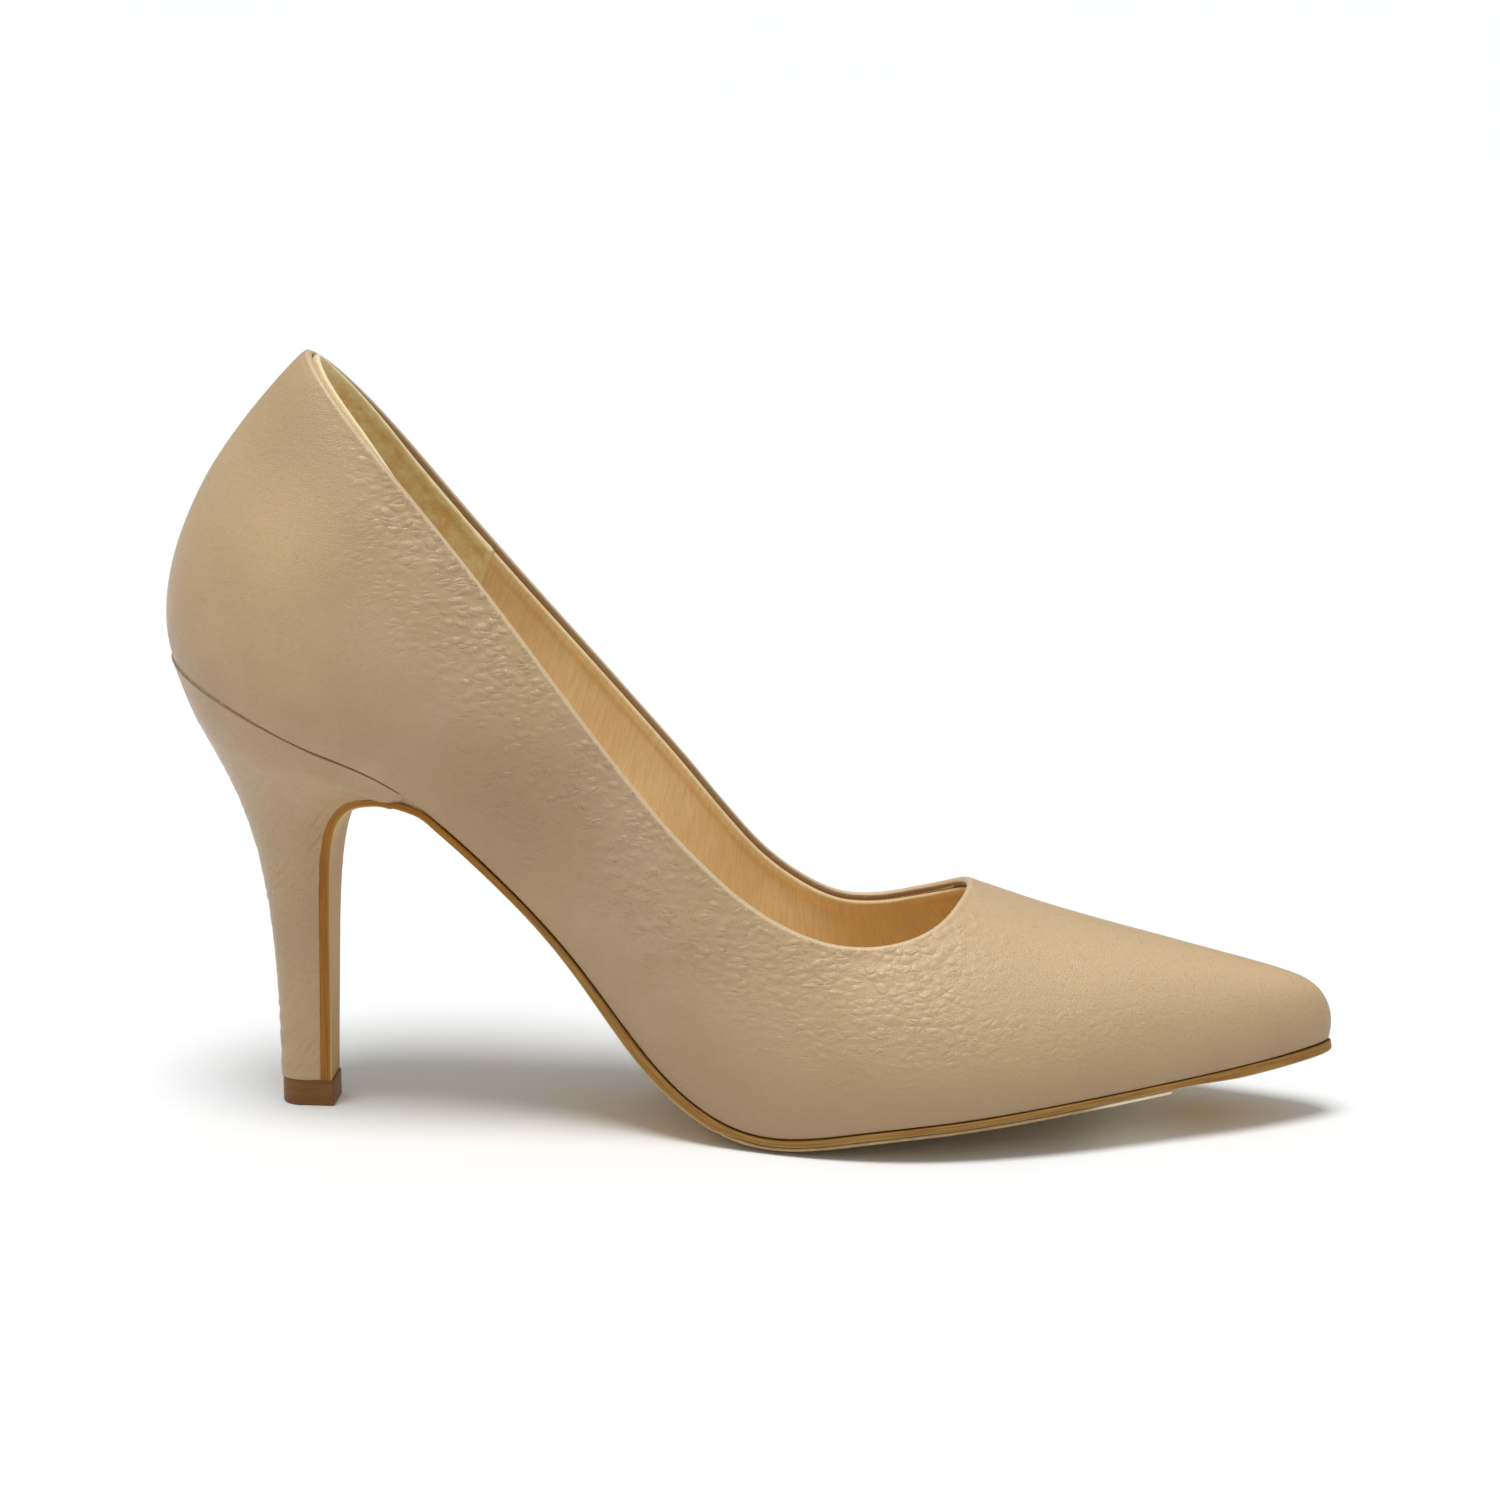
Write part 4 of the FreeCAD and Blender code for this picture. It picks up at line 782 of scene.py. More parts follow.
def hide_relief(points, edge_distance, along):
    """Height of the leather's own relief: soft unevenness, pebbling, and puckers at the topline where
    along, the distance along it, is given."""
    shove = np.stack([soft_noise(points + offset, 5 * MM) for offset in (0.0, 0.37, 0.71)], -1)
    uneven = 0.16 * MM * soft_noise(points, 19 * MM) + 0.05 * MM * soft_noise(points + 0.5, 8 * MM)
    pebbled = leather_masks(points, edge_distance)
    strong = pebbled > 0.02
    pebbles = np.zeros(points.shape[:-1])
    warped = points + shove * 1.2 * MM
    pebbles[strong] = cell_creases(warped[strong], (4.0 * MM, 4.0 * MM, 2.0 * MM)) - 0.75
    relief = uneven + MM * (0.10 + 0.04 * smooth(points[..., 0], 105 * MM, 80 * MM)) * pebbled * pebbles
    if along is not None:
        x = points[..., 0]
        zone = smooth(x, 2 * MM, 24 * MM) * smooth(x, 112 * MM, 88 * MM)
        zone = zone * smooth(edge_distance, 10 * MM, 3 * MM) * smooth(edge_distance, 0.1 * MM, 1.2 * MM)
        from_throat = np.minimum(along, along[-1] - along)
        slanted = np.stack([from_throat - 0.7 * edge_distance, edge_distance, 0 * edge_distance], -1)
        slanted = slanted + shove * 0.8 * MM
        ridges = 1 - np.abs(soft_noise(slanted, (1.4 * MM, 4.5 * MM, 1.0)))
        relief = relief + 0.19 * MM * zone * (ridges ** 4 - 0.4)
    return relief


def rounded_foot(height, radius):
    """How far the surface draws in just above the feather, so that it rolls under the foot."""
    up = np.clip(height / radius, 0.0, 1.0)
    return 0.75 * radius * (1 - np.sqrt(1 - (1 - up) ** 2))


def far_from_edge(points):
    """Cloth coordinates for leather that is nowhere near the topline."""
    return np.zeros_like(points) + (0, 0, 1)


def with_edge(cloth, edge_distance):
    """The cloth coordinates with the distance from the topline as their third value."""
    return np.concatenate([cloth[..., :2], edge_distance[..., None]], axis=-1)


def make_upper():
    """Leather with a folded topline, a relief of its own and a margin turned in under the foot."""
    fine = 1
    q = np.linspace(0.0, 2.0, 960 // fine + 1)
    u = np.linspace(0.0, 1.0, 180 // fine + 1)
    v = np.linspace(0.0, 1.0, 168 // fine + 1)
    v = 0.5 * v + 0.5 * (1 - (1 - v) ** 1.35)
    radius = FOLD_GAUGE / 2
    quarter = Quarter(q, v)
    vamps = [Vamp(side, u, v) for side in (-1, 1)]
    build = Build()
    for patch in [quarter] + vamps:
        wall = patch.lowered(radius)
        on_quarter = patch is quarter
        edge_distance = nearest_distances(wall, quarter.edge)
        along = quarter.along if on_quarter else None
        relief = hide_relief(wall, edge_distance, along)
        # the relief dies out at the feather, at the topline and round the throat
        calm = smooth(patch.height, 0.0, 5 * MM)
        if on_quarter:
            calm = calm * smooth(patch.drop, 0.0, 1.4 * MM)
        else:
            calm = calm * (1 - patch.fade * smooth(patch.drop, 2.5 * MM, 0.0))
        foot = patch.station[0]
        roll = MM * (0.55 + 0.3 * smooth(nearside(foot), 5.2, 6.0))
        outer = wall + patch.normals * (relief * calm - rounded_foot(patch.height, roll))[..., None]
        grain = leather_masks(wall, edge_distance)
        build.grid(outer, with_edge(patch.cloth(), edge_distance), grain)
        fold = fold_share(patch.drop)
        if not on_quarter:
            fold = fold * patch.fade
        rows = np.union1d(np.arange(0, len(v), 8), np.arange(len(v) - 12, len(v)))
        depth = LEATHER_GAUGE + (FOLD_GAUGE - LEATHER_GAUGE) * fold
        inner = wall - patch.normals * depth[..., None]
        lift = rise_at_height(foot, LEATHER_GAUGE)
        inner[0] = last_points(foot, lift) - last_normals(foot, lift) * LEATHER_GAUGE
        build.grid(inner[rows], with_edge(patch.cloth(), 0 * edge_distance - FOLD_GAUGE)[rows])
        shares = np.array([0.0, 0.25, 0.5, 0.75, 1.0])[:, None]
        feet = np.broadcast_to(foot, (5, len(foot)))
        below = margin_points(feet, np.broadcast_to(shares, feet.shape), 0 * feet)
        below = below + (outer[0] - below[0]) * (1 - shares)[..., None] ** 3
        cut = margin_points(foot, 1.0 + 0 * foot, LEATHER_GAUGE + 0 * foot)
        above = inner[0] + (cut - inner[0]) * shares[..., None]
        for margin in (below, above, np.stack([below[-1], above[-1]])):
            build.grid(margin, far_from_edge(margin))
        if on_quarter:
            turn = np.linspace(0.0, math.pi, 11)[:, None, None]
            start = outer[-1]
            centre = start - patch.normals[-1] * radius
            ring = centre + radius * (patch.normals[-1] * np.cos(turn) + patch.up * np.sin(turn))
            cloth = np.broadcast_to(patch.cloth()[-1], ring.shape)
            inward = FOLD_GAUGE * smooth(turn[..., 0], 0.45 * math.pi, math.pi)
            cloth = with_edge(cloth, np.broadcast_to(-inward, ring.shape[:2]))
            build.grid(ring, cloth)
    return build.object("upper_leather_shell", [LEATHER])


upper = make_upper()
finish_piece(upper, "upper_leather", "upper")

# ---------------------------------------------------------------- lining and heel grip

GRIP_END = 1 - GRIP_EDGE / VAMP_FOOT       # where the grip ends on the outer side, as a quarter's q


def bead(drop):
    """Extra thickness of the turned edge, highest about a millimetre below it."""
    return 0.42 * MM * smooth(drop, 3.2 * MM, 1.0 * MM)


def shell_patch(build, patch, waves, closed_start, closed_end, trim_and_highlight=None, top=LINING_TOP):
    """Adds the inner skin, the back skin and the rounded top edge of a lining patch."""
    wall = patch.lowered(top + 0.35 * MM)
    face_depth = LINING_DEPTH[1] + bead(patch.drop) * patch.fade + waves
    back = wall - patch.normals * LINING_DEPTH[0]
    face = wall - patch.normals * face_depth[..., None]
    build.grid(back, patch.cloth())
    build.grid(face, patch.cloth(), trim_and_highlight)
    build.grid(np.stack([back[0], face[0]]))
    if isinstance(patch, Quarter):
        middle = (back[-1] + face[-1]) / 2
        half = (back[-1] - face[-1]) / 2
        turn = np.linspace(0.0, math.pi, 8)[:, None, None]
        size = np.linalg.norm(half, axis=-1, keepdims=True)
        ring = middle + half * np.cos(turn) + patch.up * size * np.sin(turn)
        cloth = np.broadcast_to(patch.cloth()[-1], ring.shape)
        build.grid(ring, cloth, None if trim_and_highlight is None else np.broadcast_to(trim_and_highlight[-1], ring.shape[:2]))
        for column, is_closed in ((0, closed_start), (-1, closed_end)):
            if is_closed:
                build.grid(np.stack([back[:, column], face[:, column]], axis=1))
                build.grid(np.stack([ring[:4, column], ring[:3:-1, column]], axis=1))


def gathers(patch):
    """Small waves of a lining that is shorter than the edge it is drawn to."""
    strength = smooth(patch.points[..., 0], 62 * MM, 112 * MM) * smooth(patch.drop, 15 * MM, 1 * MM)
    fine = soft_noise(patch.points + 0.3, (3.4 * MM, 5 * MM, 8 * MM))
    broad = soft_noise(patch.points, 17 * MM)
    return 0.16 * MM * strength * fine + 0.22 * MM * broad * smooth(patch.drop, 1 * MM, 10 * MM)


def lining_rows(count):
    """Heights of the rows, closer together towards the edge."""
    v = np.linspace(0.0, 1.0, count)
    return 0.4 * v + 0.6 * (1 - (1 - v) ** 1.6)


def make_lining():
    """Leather lining ahead of the heel grip."""
    v = lining_rows(61)
    build = Build()
    for start, end in ((0.0, GRIP_END), (2 - GRIP_END, 2.0)):
        patch = Quarter(np.linspace(start, end, 241), v, STACK_TOP)
        shell_patch(build, patch, gathers(patch), start > 0, end < 2)
    u = np.linspace(0.0, 1.0, 61)
    for side in (-1, 1):
        patch = Vamp(side, u, v, STACK_TOP)
        shell_patch(build, patch, gathers(patch) * (1 - smooth(u, 0.9, 1.0)), False, False)
    return build.object("lining_leather_shell", [LINING])


def make_grip():
    """Suede grip. Its two ends lie over the lining's ends as thin folded edges."""
    overlap = 0.012
    q = np.linspace(GRIP_END - overlap, 2 - GRIP_END + overlap, 261)
    patch = Quarter(q, lining_rows(71), STACK_TOP)
    from_end = np.minimum(q - q[0], q[-1] - q) / overlap
    over_lining = 0.30 * MM * smooth(from_end, 2.6, 1.2)
    lip = 0.25 * MM * smooth(from_end, 1.0, 0.4) * smooth(from_end, 0.0, 0.35)
    rumpled = 0.3 * MM * soft_noise(patch.points + 0.9, 9 * MM) * smooth(patch.drop, 0.5 * MM, 7 * MM)
    # paler top edge and ends: partly the suede's trimmed edge, partly painted highlight along the top edge,
    # strongest on the outer side
    near_side = 0.25 + 0.75 * smooth(patch.points[..., 1], 8 * MM, 0.0)
    trim_and_highlight = np.maximum(smooth(patch.drop, 1.1 * MM, 0.3 * MM) * near_side, 0.45 * smooth(from_end, 0.6, 0.1))
    build = Build()
    # it stands above the leather's fold round the back and along the outer side
    edge_x = patch.edge[:, 0]
    inner_side = smooth(patch.edge[:, 1], 2 * MM, 9 * MM)
    raised = smooth(edge_x, 34 * MM, 14 * MM) * (1 - inner_side)
    raised = raised + 0.7 * smooth(edge_x, 26 * MM, 4 * MM) * inner_side
    top = LINING_TOP - 1.75 * MM * raised
    shell_patch(build, patch, over_lining + lip + np.abs(rumpled) * 0.6, True, True, trim_and_highlight, top)
    return build.object("heel_grip_suede", [SUEDE])


lining = make_lining()
finish_piece(lining, "lining_leather", "lining")
grip = make_grip()
finish_piece(grip, "grip_suede", "heel_grip")

# ---------------------------------------------------------------- the sock

SOCK_INSET = 2.9 * MM
SOCK_GAUGE = 0.7 * MM
SOCK_CLEARANCE = 0.3 * MM


def pad_rise(near):
    """Height of the heel pad under the sock."""
    return 0.05 * MM + 1.5 * MM * smooth(near, 7.2, 4.7)


def loft(build, sections, cloth=None):
    """Closed cross-sections [rows, points, 3] joined lengthwise, with both ends capped by a fan."""
    loop = np.concatenate([sections, sections[:, :1]], axis=1)
    if cloth is not None:
        cloth = np.concatenate([cloth, cloth[:, :1]], axis=1)
    build.grid(loop, cloth)
    for row in (0, -1):
        centre = np.broadcast_to(sections[row].mean(axis=0), loop[row].shape)
        build.grid(np.stack([centre, loop[row]]))


def bottom_sections(near, profile, lift, across_count):
    """Cross-sections of a bottom layer. The profile lists (inset, height) from the underside up and over,
    for the outer edge; the inner edge mirrors it. Height is measured from lift, square to the bottom."""
    insets, heights = np.array(profile).T
    normal = bottom_normals(near)

    def edge(station):
        shape = (len(near), len(profile))
        points = feather_inset(np.broadcast_to(station[:, None], shape), np.broadcast_to(insets, shape))
        return points + normal[:, None] * (lift[:, None] + heights)[..., None]

    outer = edge(near)
    inner = edge(ROUND - near)[:, ::-1]
    t = np.linspace(0.0, 1.0, across_count)[1:-1]
    crown = -sag(near)[:, None] * 4 * t * (1 - t)

    def across(first, last):
        span = first[:, None] + (last - first)[:, None] * t[:, None]
        return span + normal[:, None] * crown[..., None]

    over = across(outer[:, -1], inner[:, 0])
    under = across(inner[:, -1], outer[:, 0])
    return np.concatenate([outer, over, inner, under], axis=1)


def lining_face(station, height):
    """Points of the lining's inner face at a height above the bottom."""
    rise = rise_at_height(station, height)
    return last_points(station, rise) - last_normals(station, rise) * LINING_DEPTH[1]


def spread_to_lining(sections, near, level, outer_edge, inner_edge):
    """Widens each cross-section until its two edges nearly touch the lining."""
    outer, inner = sections[:, outer_edge], sections[:, inner_edge]
    across = unit(outer - inner)
    width = ((outer - inner) * across).sum(-1)
    room_outer = ((lining_face(near, level) - outer) * across).sum(-1) - SOCK_CLEARANCE
    room_inner = ((inner - lining_face(ROUND - near, level)) * across).sum(-1) - SOCK_CLEARANCE
    share = ((sections - inner[:, None]) * across[:, None]).sum(-1) / width[:, None]
    shift = np.maximum(room_outer, 0)[:, None] * share - np.maximum(room_inner, 0)[:, None] * (1 - share)
    return sections + across[:, None] * shift[..., None]


def make_sock():
    """Leather sock over the insole and the heel pad, spread to the lining all round."""
    near = np.linspace(0.55, 15.2, 150)
    lift = STACK_TOP + 0.02 * MM + pad_rise(near)
    profile = [(SOCK_INSET + 0.3 * MM, 0.0),
               (SOCK_INSET + 0.05 * MM, 0.1 * MM),
               (SOCK_INSET, SOCK_GAUGE / 2),
               (SOCK_INSET + 0.1 * MM, SOCK_GAUGE - 0.12 * MM),
               (SOCK_INSET + 0.35 * MM, SOCK_GAUGE)]
    across_count = 25
    sections = bottom_sections(near, profile, lift, across_count)
    half = len(profile) // 2
    inner_edge = len(profile) + across_count - 2 + half
    sections = spread_to_lining(sections, near, lift + SOCK_GAUGE / 2, half, inner_edge)
    back_room = sections[0, half, 0] - lining_face(np.zeros(1), lift[:1])[0, 0] - SOCK_CLEARANCE
    sections[..., 0] -= max(back_room, 0) * smooth(near, 3.0, near[0])[:, None]
    soft = 0.12 * MM * soft_noise(sections, 12 * MM)
    sections[..., 2] += soft * smooth(np.broadcast_to(near[:, None], soft.shape), 0.6, 1.5)
    cloth = np.stack([sections[..., 0], sections[..., 1], 0 * soft], -1)
    build = Build()
    loft(build, sections, cloth)
    return build.object("sock_lining", [LINING])


sock = make_sock()
finish_piece(sock, "lining_leather", "sock")

# ---------------------------------------------------------------- the heel

# level, back x, z, breast x, z, half width at the breast
HEEL_LEVELS = MM * np.array([
    (0.6, 93.7, 50.8, 69.6, 22.9),
    (4.6, 82.8, 49.4, 67.1, 21.2),
    (8.8, 74.6, 44.8, 67.3, 18.8),
    (13.0, 65.7, 38.8, 65.8, 15.4),
    (16.4, 55.4, 34.2, 61.5, 11.8),
    (18.6, 44.0, 31.9, 54.5, 8.8),
    (19.9, 32.0, 31.1, 43.0, 6.5),
    (20.5, 19.0, 30.9, 25.0, 5.2),
    (20.7, 5.53, 30.6, 5.53, 4.6),
])
SEAT_FRONT = 5.15              # station at which the heel's sides end under the upper
SLIVER_TIP = 5.4               # station of the cover's drawn-out front corners
COVER_GAUGE = 0.8 * MM
CREASE_WIDTH = 0.7 * MM
CREASE_LENGTH = 5 * MM
CREASE_DEPTH = 0.18 * MM
TURNED_EDGE = 0.45 * MM


def through(keys, at):
    """Catmull-Rom values along the first axis of keys, at positions counted in keys."""
    last = len(keys) - 1
    span = np.clip(np.floor(at).astype(int), 0, last - 1)
    f = (at - span).reshape((-1,) + (1,) * (keys.ndim - 1))

    def slope(i):
        before = np.maximum(i - 1, 0)
        after = np.minimum(i + 1, last)
        width = (after - before).reshape((-1,) + (1,) * (keys.ndim - 1))
        return (keys[after] - keys[before]) / width

    return (keys[span] * (2 * f ** 3 - 3 * f ** 2 + 1) + slope(span) * (f ** 3 - 2 * f ** 2 + f)
            + keys[span + 1] * (3 * f ** 2 - 2 * f ** 3) + slope(span + 1) * (f ** 3 - f ** 2))


def heel_points(levels, stations):
    """Points of the heel's side [level, station]. Stations are negative on the inner side."""
    back_x, back_z, breast_x, breast_z, half_width = through(HEEL_LEVELS, levels).T[..., None]
    seat = on_rings(np.abs(stations))[0]
    back = on_rings(0.0)[0]
    corner = on_rings(SEAT_FRONT)[0]
    share = (seat[:, 0] - back[0]) / (corner[0] - back[0])
    y = seat[:, 1] * half_width / -corner[1] * np.where(stations >= 0, 1, -1)
    x = back_x + (breast_x - back_x) * share
    z = back_z + (breast_z - back_z) * share
    # the top edge follows the upper where that stands clear of the straight seat line
    top = HEEL_LEVELS[0]
    clear = np.maximum(seat[:, 2] - (top[1] + (top[3] - top[1]) * share), 0.0)
    z = z + clear * smooth(levels, 1.0, 0.0)[:, None]
    return np.stack([x - HEEL_AXIS, y, z], -1)


def grid_normals(points):
    """Outward-facing unit normals of a grid by differences along its rows and columns."""
    return unit(np.cross(np.gradient(points, axis=1), np.gradient(points, axis=0)))


def front_slivers(outer, inner, levels):
    """The cover's two front corners, drawn out to a point between the upper and the sole."""
    grids = []
    rows = levels <= 1.0
    for end, sign in ((0, -1), (-1, 1)):
        station = SLIVER_TIP if sign < 0 else ROUND - SLIVER_TIP
        tip = on_rings(station)[0] - (HEEL_AXIS, 0, 0)
        share = np.linspace(0.0, 1.0, 9)
        faces = []
        for face, depth in ((outer, 0.1 * MM), (inner, 0.1 * MM + COVER_GAUGE)):
            start = face[rows, end]
            point = tip + (0, -sign * depth, 0)
            faces.append(start[:, None] + (point - start)[:, None] * share[None, :, None])
        grids += faces
        grids += [np.stack([faces[0][row], faces[1][row]]) for row in (0, -1)]
        grids.append(np.stack([faces[0][:, -1], faces[1][:, -1]], axis=1))
    return grids


def make_heel_cover():
    """Leather drawn round the heel, with its fine slanting creases and turned edges."""
    fine = 1
    levels = np.linspace(0.0, 8.0, 420 // fine)
    stations = np.linspace(SEAT_FRONT, -SEAT_FRONT, 181 // fine)
    side = heel_points(levels, stations)
    normals = grid_normals(side)
    outward = np.sign((normals * (side - side.mean(axis=1, keepdims=True))).sum())
    normals = normals * outward
    down = levels[:, None] + 0 * stations
    shove = np.stack([soft_noise(side + offset, 6 * MM) for offset in (0.2, 0.5, 0.8)], -1)
    slanted = side + shove * 0.8 * MM
    # creases run up and forward: fine across, long along
    across = slanted[..., 2] * 0.55 - slanted[..., 0] * 0.75
    along = slanted[..., 2] * 0.75 + slanted[..., 0] * 0.55
    creases = soft_noise(np.stack([across, along, 0 * across], -1), (CREASE_WIDTH, CREASE_LENGTH, 1.0))
    where = smooth(down, 0.4, 1.6) * (0.45 + 0.75 * smooth(soft_noise(side, 11 * MM), -0.2, 0.6))
    ends = smooth(down, 0.0, 0.35) * smooth(down, 8.0, 7.7)
    relief = CREASE_DEPTH * where * np.minimum(creases, 0.25) * ends
    relief = relief + 0.06 * MM * soft_noise(side, 9 * MM) * ends
    # the top edge rolls in under the upper, and the breast edges round over
    legs = np.linalg.norm(np.diff(side[:, len(stations) // 2], axis=0), axis=-1)
    height = np.concatenate([[0.0], np.cumsum(legs)])
    rolled = rounded_foot(height, 0.35 * MM)[:, None]
    from_breast = (SEAT_FRONT - np.abs(stations))[None, :] * 9 * MM
    rounded = rounded_foot(from_breast, 0.3 * MM)
    outer = side + normals * (relief - rolled - rounded)[..., None]
    inner = side - normals * COVER_GAUGE
    build = Build()
    rims = [np.stack([outer[end], inner[end]]) for end in (0, -1)]
    edges = [np.stack([outer[:, end], inner[:, end]], axis=1) for end in (0, -1)]
    # its turned top edge is painted the dark brown of the fold's inside, a fine line along the joint with
    # the upper: partly the leather's turned edge, partly painted shade in the joint
    turned = far_from_edge(outer)
    turned[height < TURNED_EDGE] = (0, 0, -FOLD_GAUGE)
    build.grid(outer, turned)
    for part in [inner] + rims + edges + front_slivers(outer, inner, levels):
        build.grid(part, far_from_edge(part))
    return build.object("heel_cover_leather", [LEATHER])


heel_cover = make_heel_cover()
finish_piece(heel_cover, "upper_leather", "heel_cover")

# ---------------------------------------------------------------- the outsole

SOLE_LEAVES = 5.35             # station at which the sole leaves the last and turns down the breast
FLAP_GAUGE = 2.5 * MM
# How the flap laps over the heel cover's front edges, from level 0 down: back, up, and wider on each side.
FLAP_LAP = MM * np.array([
    (0.0, 0.5, 0.5),
    (0.0, 1.0, 0.9),
    (0.0, 1.3, 1.3),
    (0.3, 1.4, 1.1),
    (0.4, 1.0, 0.6),
    (0.5, 0.5, 0.3),
    (0.7, 0.0, 0.2),
    (0.9, 0.0, 0.2),
    (1.0, 0.0, 0.2),
])
TREAD_FROM = 8.7
TREAD_TO = 13.1
FULL_GAUGE = 2.3 * MM
SKIVED_GAUGE = 1.5 * MM        # under the tread
REACH = 0.4 * MM               # how far the sole's edge stands out from the feather
# The outsole's edge: how far out, in mm, and share of the way down, from the top to the underside.
EDGE_PROFILE = np.array([
    (-0.9, 0.0),
    (-0.25, 0.0),
    (0.0, 0.03),
    (0.28, 0.07),
    (0.38, 0.14),
    (0.4, 0.3),
    (0.4, 0.55),
    (0.4, 0.72),
    (0.3, 0.84),
    (0.1, 0.93),
    (-0.2, 0.985),
    (-0.6, 1.0),
    (-1.3, 1.0),
])


def sole_gauge(near):
    """Thickness of the outsole: skived under the tread and thinned towards the waist."""
    under_tread = SKIVED_GAUGE + 0 * near
    ahead = (FULL_GAUGE - SKIVED_GAUGE) * smooth(near, TREAD_TO + 0.1, TREAD_TO + 0.9)
    thinned = FULL_GAUGE - 0.75 * MM * smooth(near, TREAD_FROM - 0.7, 6.4)
    return np.where(near > TREAD_FROM, under_tread + ahead, thinned)


def make_outsole():
    """Outsole from the toe to the waist, carried on down the heel's breast."""
    out, share = EDGE_PROFILE.T
    out = out * MM
    count = len(out)
    # from the toe to the place where the sole leaves the last
    at_toe = TIP - np.linspace(0.0, 1.0, 13)[:-1] ** 1.7
    near = np.concatenate([at_toe, np.linspace(TIP - 1, SOLE_LEAVES, 45)])
    t = np.linspace(0.0, 1.0, 15)[1:-1]
    shape = (len(near), count)
    stations = np.broadcast_to(near[:, None], shape)
    reach = np.broadcast_to(-out, shape)
    lift = bottom_normals(near) * -0.03 * MM
    rows_outer = [feather_inset(stations, reach) + lift[:, None]]
    rows_inner = [feather_inset(ROUND - stations, reach) + lift[:, None]]
    crown = bottom_normals(near)[:, None] * (-sag(near)[:, None] * 4 * t * (1 - t))[..., None]
    # and down the heel's breast
    levels = np.linspace(1.0, 8.0, 22)
    _, _, breast_x, breast_z, half_width = through(HEEL_LEVELS, levels).T
    lap_back, lap_up, lap_side = through(FLAP_LAP, levels).T
    face = breast_x - 0.25 * MM - HEEL_AXIS - lap_back
    height = breast_z + lap_up
    width = half_width - REACH / 2 + lap_side
    for side, rows in ((-1, rows_outer), (1, rows_inner)):
        y = side * (width[:, None] + out)
        rows.append(np.stack(np.broadcast_arrays(face[:, None], y, height[:, None]), -1))
    bend = np.maximum(1 - (levels - 1) / 2, 0)
    flap = FLAP_GAUGE + (sole_gauge(np.array(SOLE_LEAVES)) - FLAP_GAUGE) * bend
    outer = np.concatenate(rows_outer)
    inner = np.concatenate(rows_inner)
    crown = np.concatenate([crown, np.zeros((len(levels), len(t), 3))])
    gauges = np.concatenate([sole_gauge(near), flap])
    middle = (outer[:, 0] + inner[:, 0]) / 2
    along = np.gradient(middle, axis=0)
    down = unit(np.stack([-along[:, 2], 0 * along[:, 0], along[:, 0]], -1))
    down[-1] = (1, 0, 0)
    down[0] = down[1]
    sunk = down[:, None] * (gauges[:, None] * share)[..., None]
    outer = outer + sunk
    inner = inner + sunk

    def across(first, last):
        return first[:, None] + (last - first)[:, None] * t[:, None] + crown

    top = across(inner[:, 0], outer[:, 0])
    under = across(outer[:, -1], inner[:, -1])
    sections = np.concatenate([outer, under, inner[:, ::-1], top], axis=1)
    at = np.linspace(0, len(sections) - 1, (len(sections) - 1) * 4 + 1)
    sections = through(sections, at)
    loop = np.concatenate([sections, sections[:, :1]], axis=1)
    shares = np.concatenate([share, np.full(len(t), 1.0), share[::-1], np.zeros(len(t)), share[:1]])
    bevel = np.broadcast_to(smooth(shares, 0.8, 0.93), loop.shape[:2])
    walk = np.cumsum(np.linalg.norm(np.diff(loop[:, 0], axis=0, prepend=loop[:1, 0]), axis=-1))
    cloth = np.stack(np.broadcast_arrays(walk[:, None], shares * FULL_GAUGE, 0.0), -1)
    build = Build()
    split = (count - 3, count + len(t) + 2, 2 * count + len(t))
    bands = [slice(0, split[0] + 1), slice(split[0], split[1] + 1), slice(split[1], split[2] + 1),
             slice(split[2], None)]
    for i, band in enumerate(bands):
        build.grid(loop[:, band], cloth[:, band], bevel[:, band], mark=i % 2)
    # the first section, at the toe, closes on itself; the last is capped at the flap's foot
    centre = np.broadcast_to(sections[-1].mean(axis=0), loop[-1].shape)
    build.grid(np.stack([centre, loop[-1]]), mark=0)
    return build.object("outsole_leather", [SOLE_EDGE, SOLE])


outsole = make_outsole()
finish_piece(outsole, "sole_leather", "outsole")


def make_tread():
    """Tread let into the forepart of the sole, worn flat where it bears on the ground."""
    near = np.linspace(TREAD_FROM, TREAD_TO, 90)
    low = -(FULL_GAUGE + 0.03 * MM)
    high = -(SKIVED_GAUGE + 0.06 * MM)
    rise = high - low
    profile = [(0.5 * MM, 0.0), (0.1 * MM, 0.06 * rise), (-0.12 * MM, 0.3 * rise), (-0.2 * MM, 0.6 * rise),
               (-0.2 * MM, rise), (0.6 * MM, rise)]
    sections = bottom_sections(near, profile, np.full(len(near), low), 21)
    sections[..., 2] = np.maximum(sections[..., 2], 0.0)
    build = Build()
    loft(build, sections)
    return build.object("forefoot_tread_rubber", [TREAD])


tread = make_tread()
finish_piece(tread, "tread_rubber", "forefoot_tread")


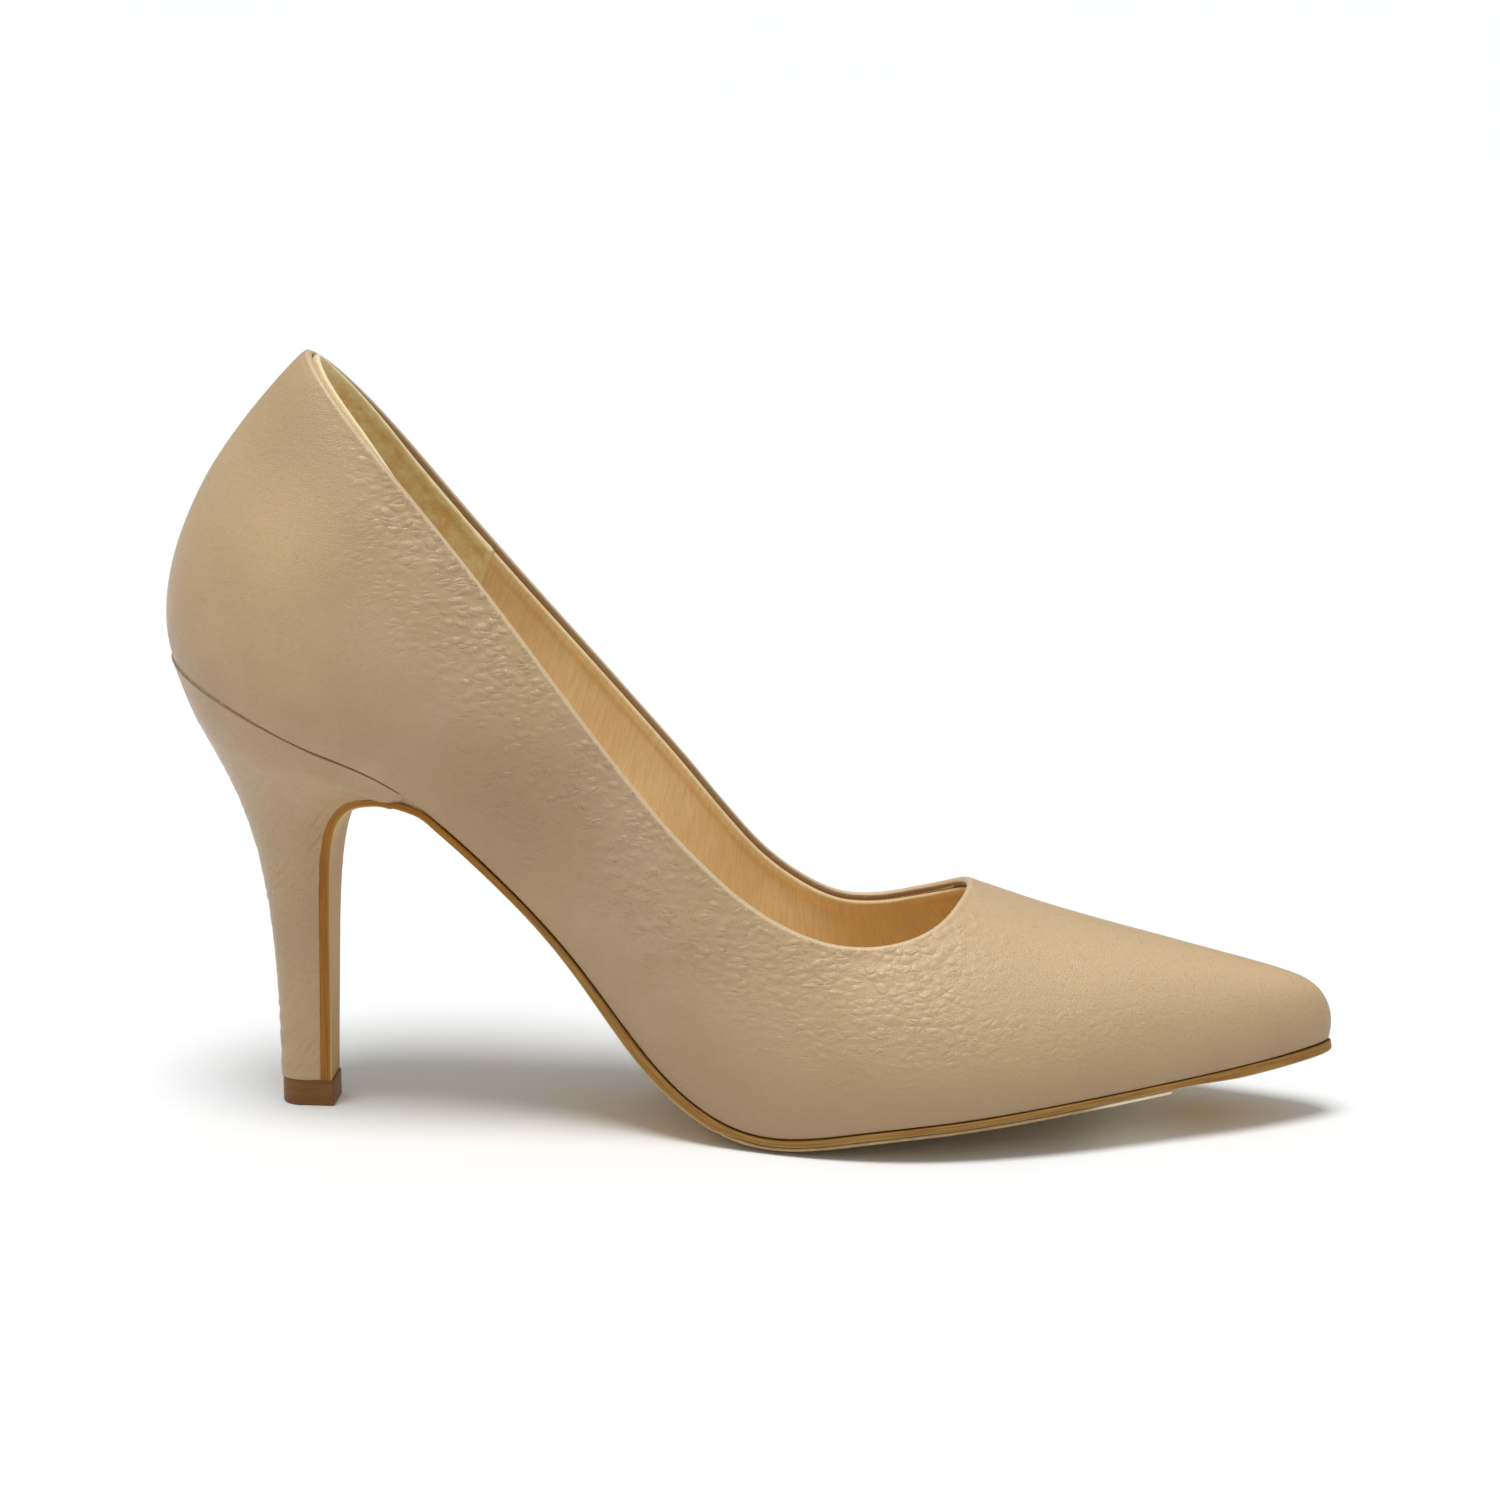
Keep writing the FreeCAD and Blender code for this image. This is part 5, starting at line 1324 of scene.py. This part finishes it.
def make_top_piece():
    """Moulded top piece with a straight front, a round back and softened edges."""
    low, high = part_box("top_piece")
    half = (high[1] - low[1]) / 2
    front = high[0]
    centre = low[0] + half
    turn = np.linspace(math.pi / 2, 3 * math.pi / 2, 33)
    back = np.stack([centre + half * np.cos(turn), half * np.sin(turn)], -1)
    corner = 0.45 * MM
    arc = np.linspace(-math.pi / 2, 0.0, 6)
    right = np.stack([front - corner + corner * np.cos(arc), -half + corner + corner * np.sin(arc)], -1)
    left = np.stack([right[::-1, 0], -right[::-1, 1]], -1)
    outline = np.concatenate([back, right, left])
    middle = outline.mean(axis=0)
    foot_radius = 0.5 * MM
    top_radius = 0.25 * MM
    height = high[2] - low[2]
    steps = np.linspace(0.0, math.pi / 2, 6)
    over = 1 - np.sin(steps)
    up = 1 - np.cos(steps)
    inset = np.concatenate([foot_radius * over, [0.0], top_radius * up])
    level = np.concatenate([foot_radius * up, [height / 2], height - top_radius * over])
    reach = np.linalg.norm(outline - middle, axis=-1, keepdims=True)
    sections = []
    for move, z in zip(inset, level):
        ring = middle + (outline - middle) * (1 - move / reach)
        sections.append(np.concatenate([ring, np.full((len(ring), 1), z + low[2])], axis=1))
    build = Build()
    loft(build, np.array(sections))
    return build.object("top_piece_moulding", [TOPPIECE])


top_piece = make_top_piece()
finish_piece(top_piece, "toppiece_plastic", "top_piece")

# ---------------------------------------------------------------- CAD nodes that stay

for entry in frame["record"]["subparts"]:
    node = frame["nodes"][entry["node"]]
    node.data.materials.clear()
    node.data.materials.append(SLOT_MATERIALS[entry["material_slot"]])

# ---------------------------------------------------------------- studio


def pale_floor():
    paint = Paint("studio_floor", 0.9, specular=0.1)
    share = paint.remap(paint.noise(0.4, 2.0), 0.3, 0.7)
    return paint.finish(paint.mix(share, (0.950, 0.975, 0.990), (0.960, 0.985, 1.0)))


def make_floor():
    """A flat studio floor, deep enough to fill the view behind the shoe."""
    points = np.array([[(x, y, 0.0) for y in (-8.0, 30.0)] for x in (-12.0, 12.0)])
    build = Build()
    build.grid(points)
    return build.object("studio_floor", [pale_floor()])


floor = make_floor()


def soft_light(name, source, spread, strength, color):
    """Even light from a round patch of the sky: where it is, how wide in degrees, how strong."""
    data = bpy.data.lights.new(name, "SUN")
    data.angle = math.radians(spread)
    data.energy = strength
    data.color = color
    light = bpy.data.objects.new(name, data)
    light.rotation_euler = Vector(source).to_track_quat("Z", "Y").to_euler()
    bpy.context.collection.objects.link(light)


soft_light("overhead_key", (-0.08, -0.20, 1.0), 26.0, 2.2, (1.0, 0.98, 0.96))
soft_light("overhead_fill", (0.0, -0.1, 1.0), 120.0, 0.40, (0.97, 0.99, 1.0))

world = bpy.data.worlds.new("studio")
world.use_nodes = True
world.node_tree.nodes["Background"].inputs["Color"].default_value = (0.94, 0.985, 1.0, 1.0)
world.node_tree.nodes["Background"].inputs["Strength"].default_value = 0.28
bpy.context.scene.world = world
bpy.context.scene.view_settings.view_transform = "Standard"

# ---------------------------------------------------------------- camera

TARGET = Vector((90.4 * MM, 0.0, 75.0 * MM))
AZIMUTH = math.radians(4.5)
ELEVATION = math.radians(12.5)
DISTANCE = 850 * MM

camera_data = bpy.data.cameras.new("camera")
camera_data.lens = 102.0
camera_data.sensor_width = 36.0
camera = bpy.data.objects.new("camera", camera_data)
back = Vector((math.sin(AZIMUTH) * math.cos(ELEVATION), -math.cos(AZIMUTH) * math.cos(ELEVATION),
               math.sin(ELEVATION)))
camera.location = TARGET + back * DISTANCE
camera.rotation_euler = (-back).to_track_quat("-Z", "Y").to_euler()
bpy.context.collection.objects.link(camera)
bpy.context.scene.camera = camera
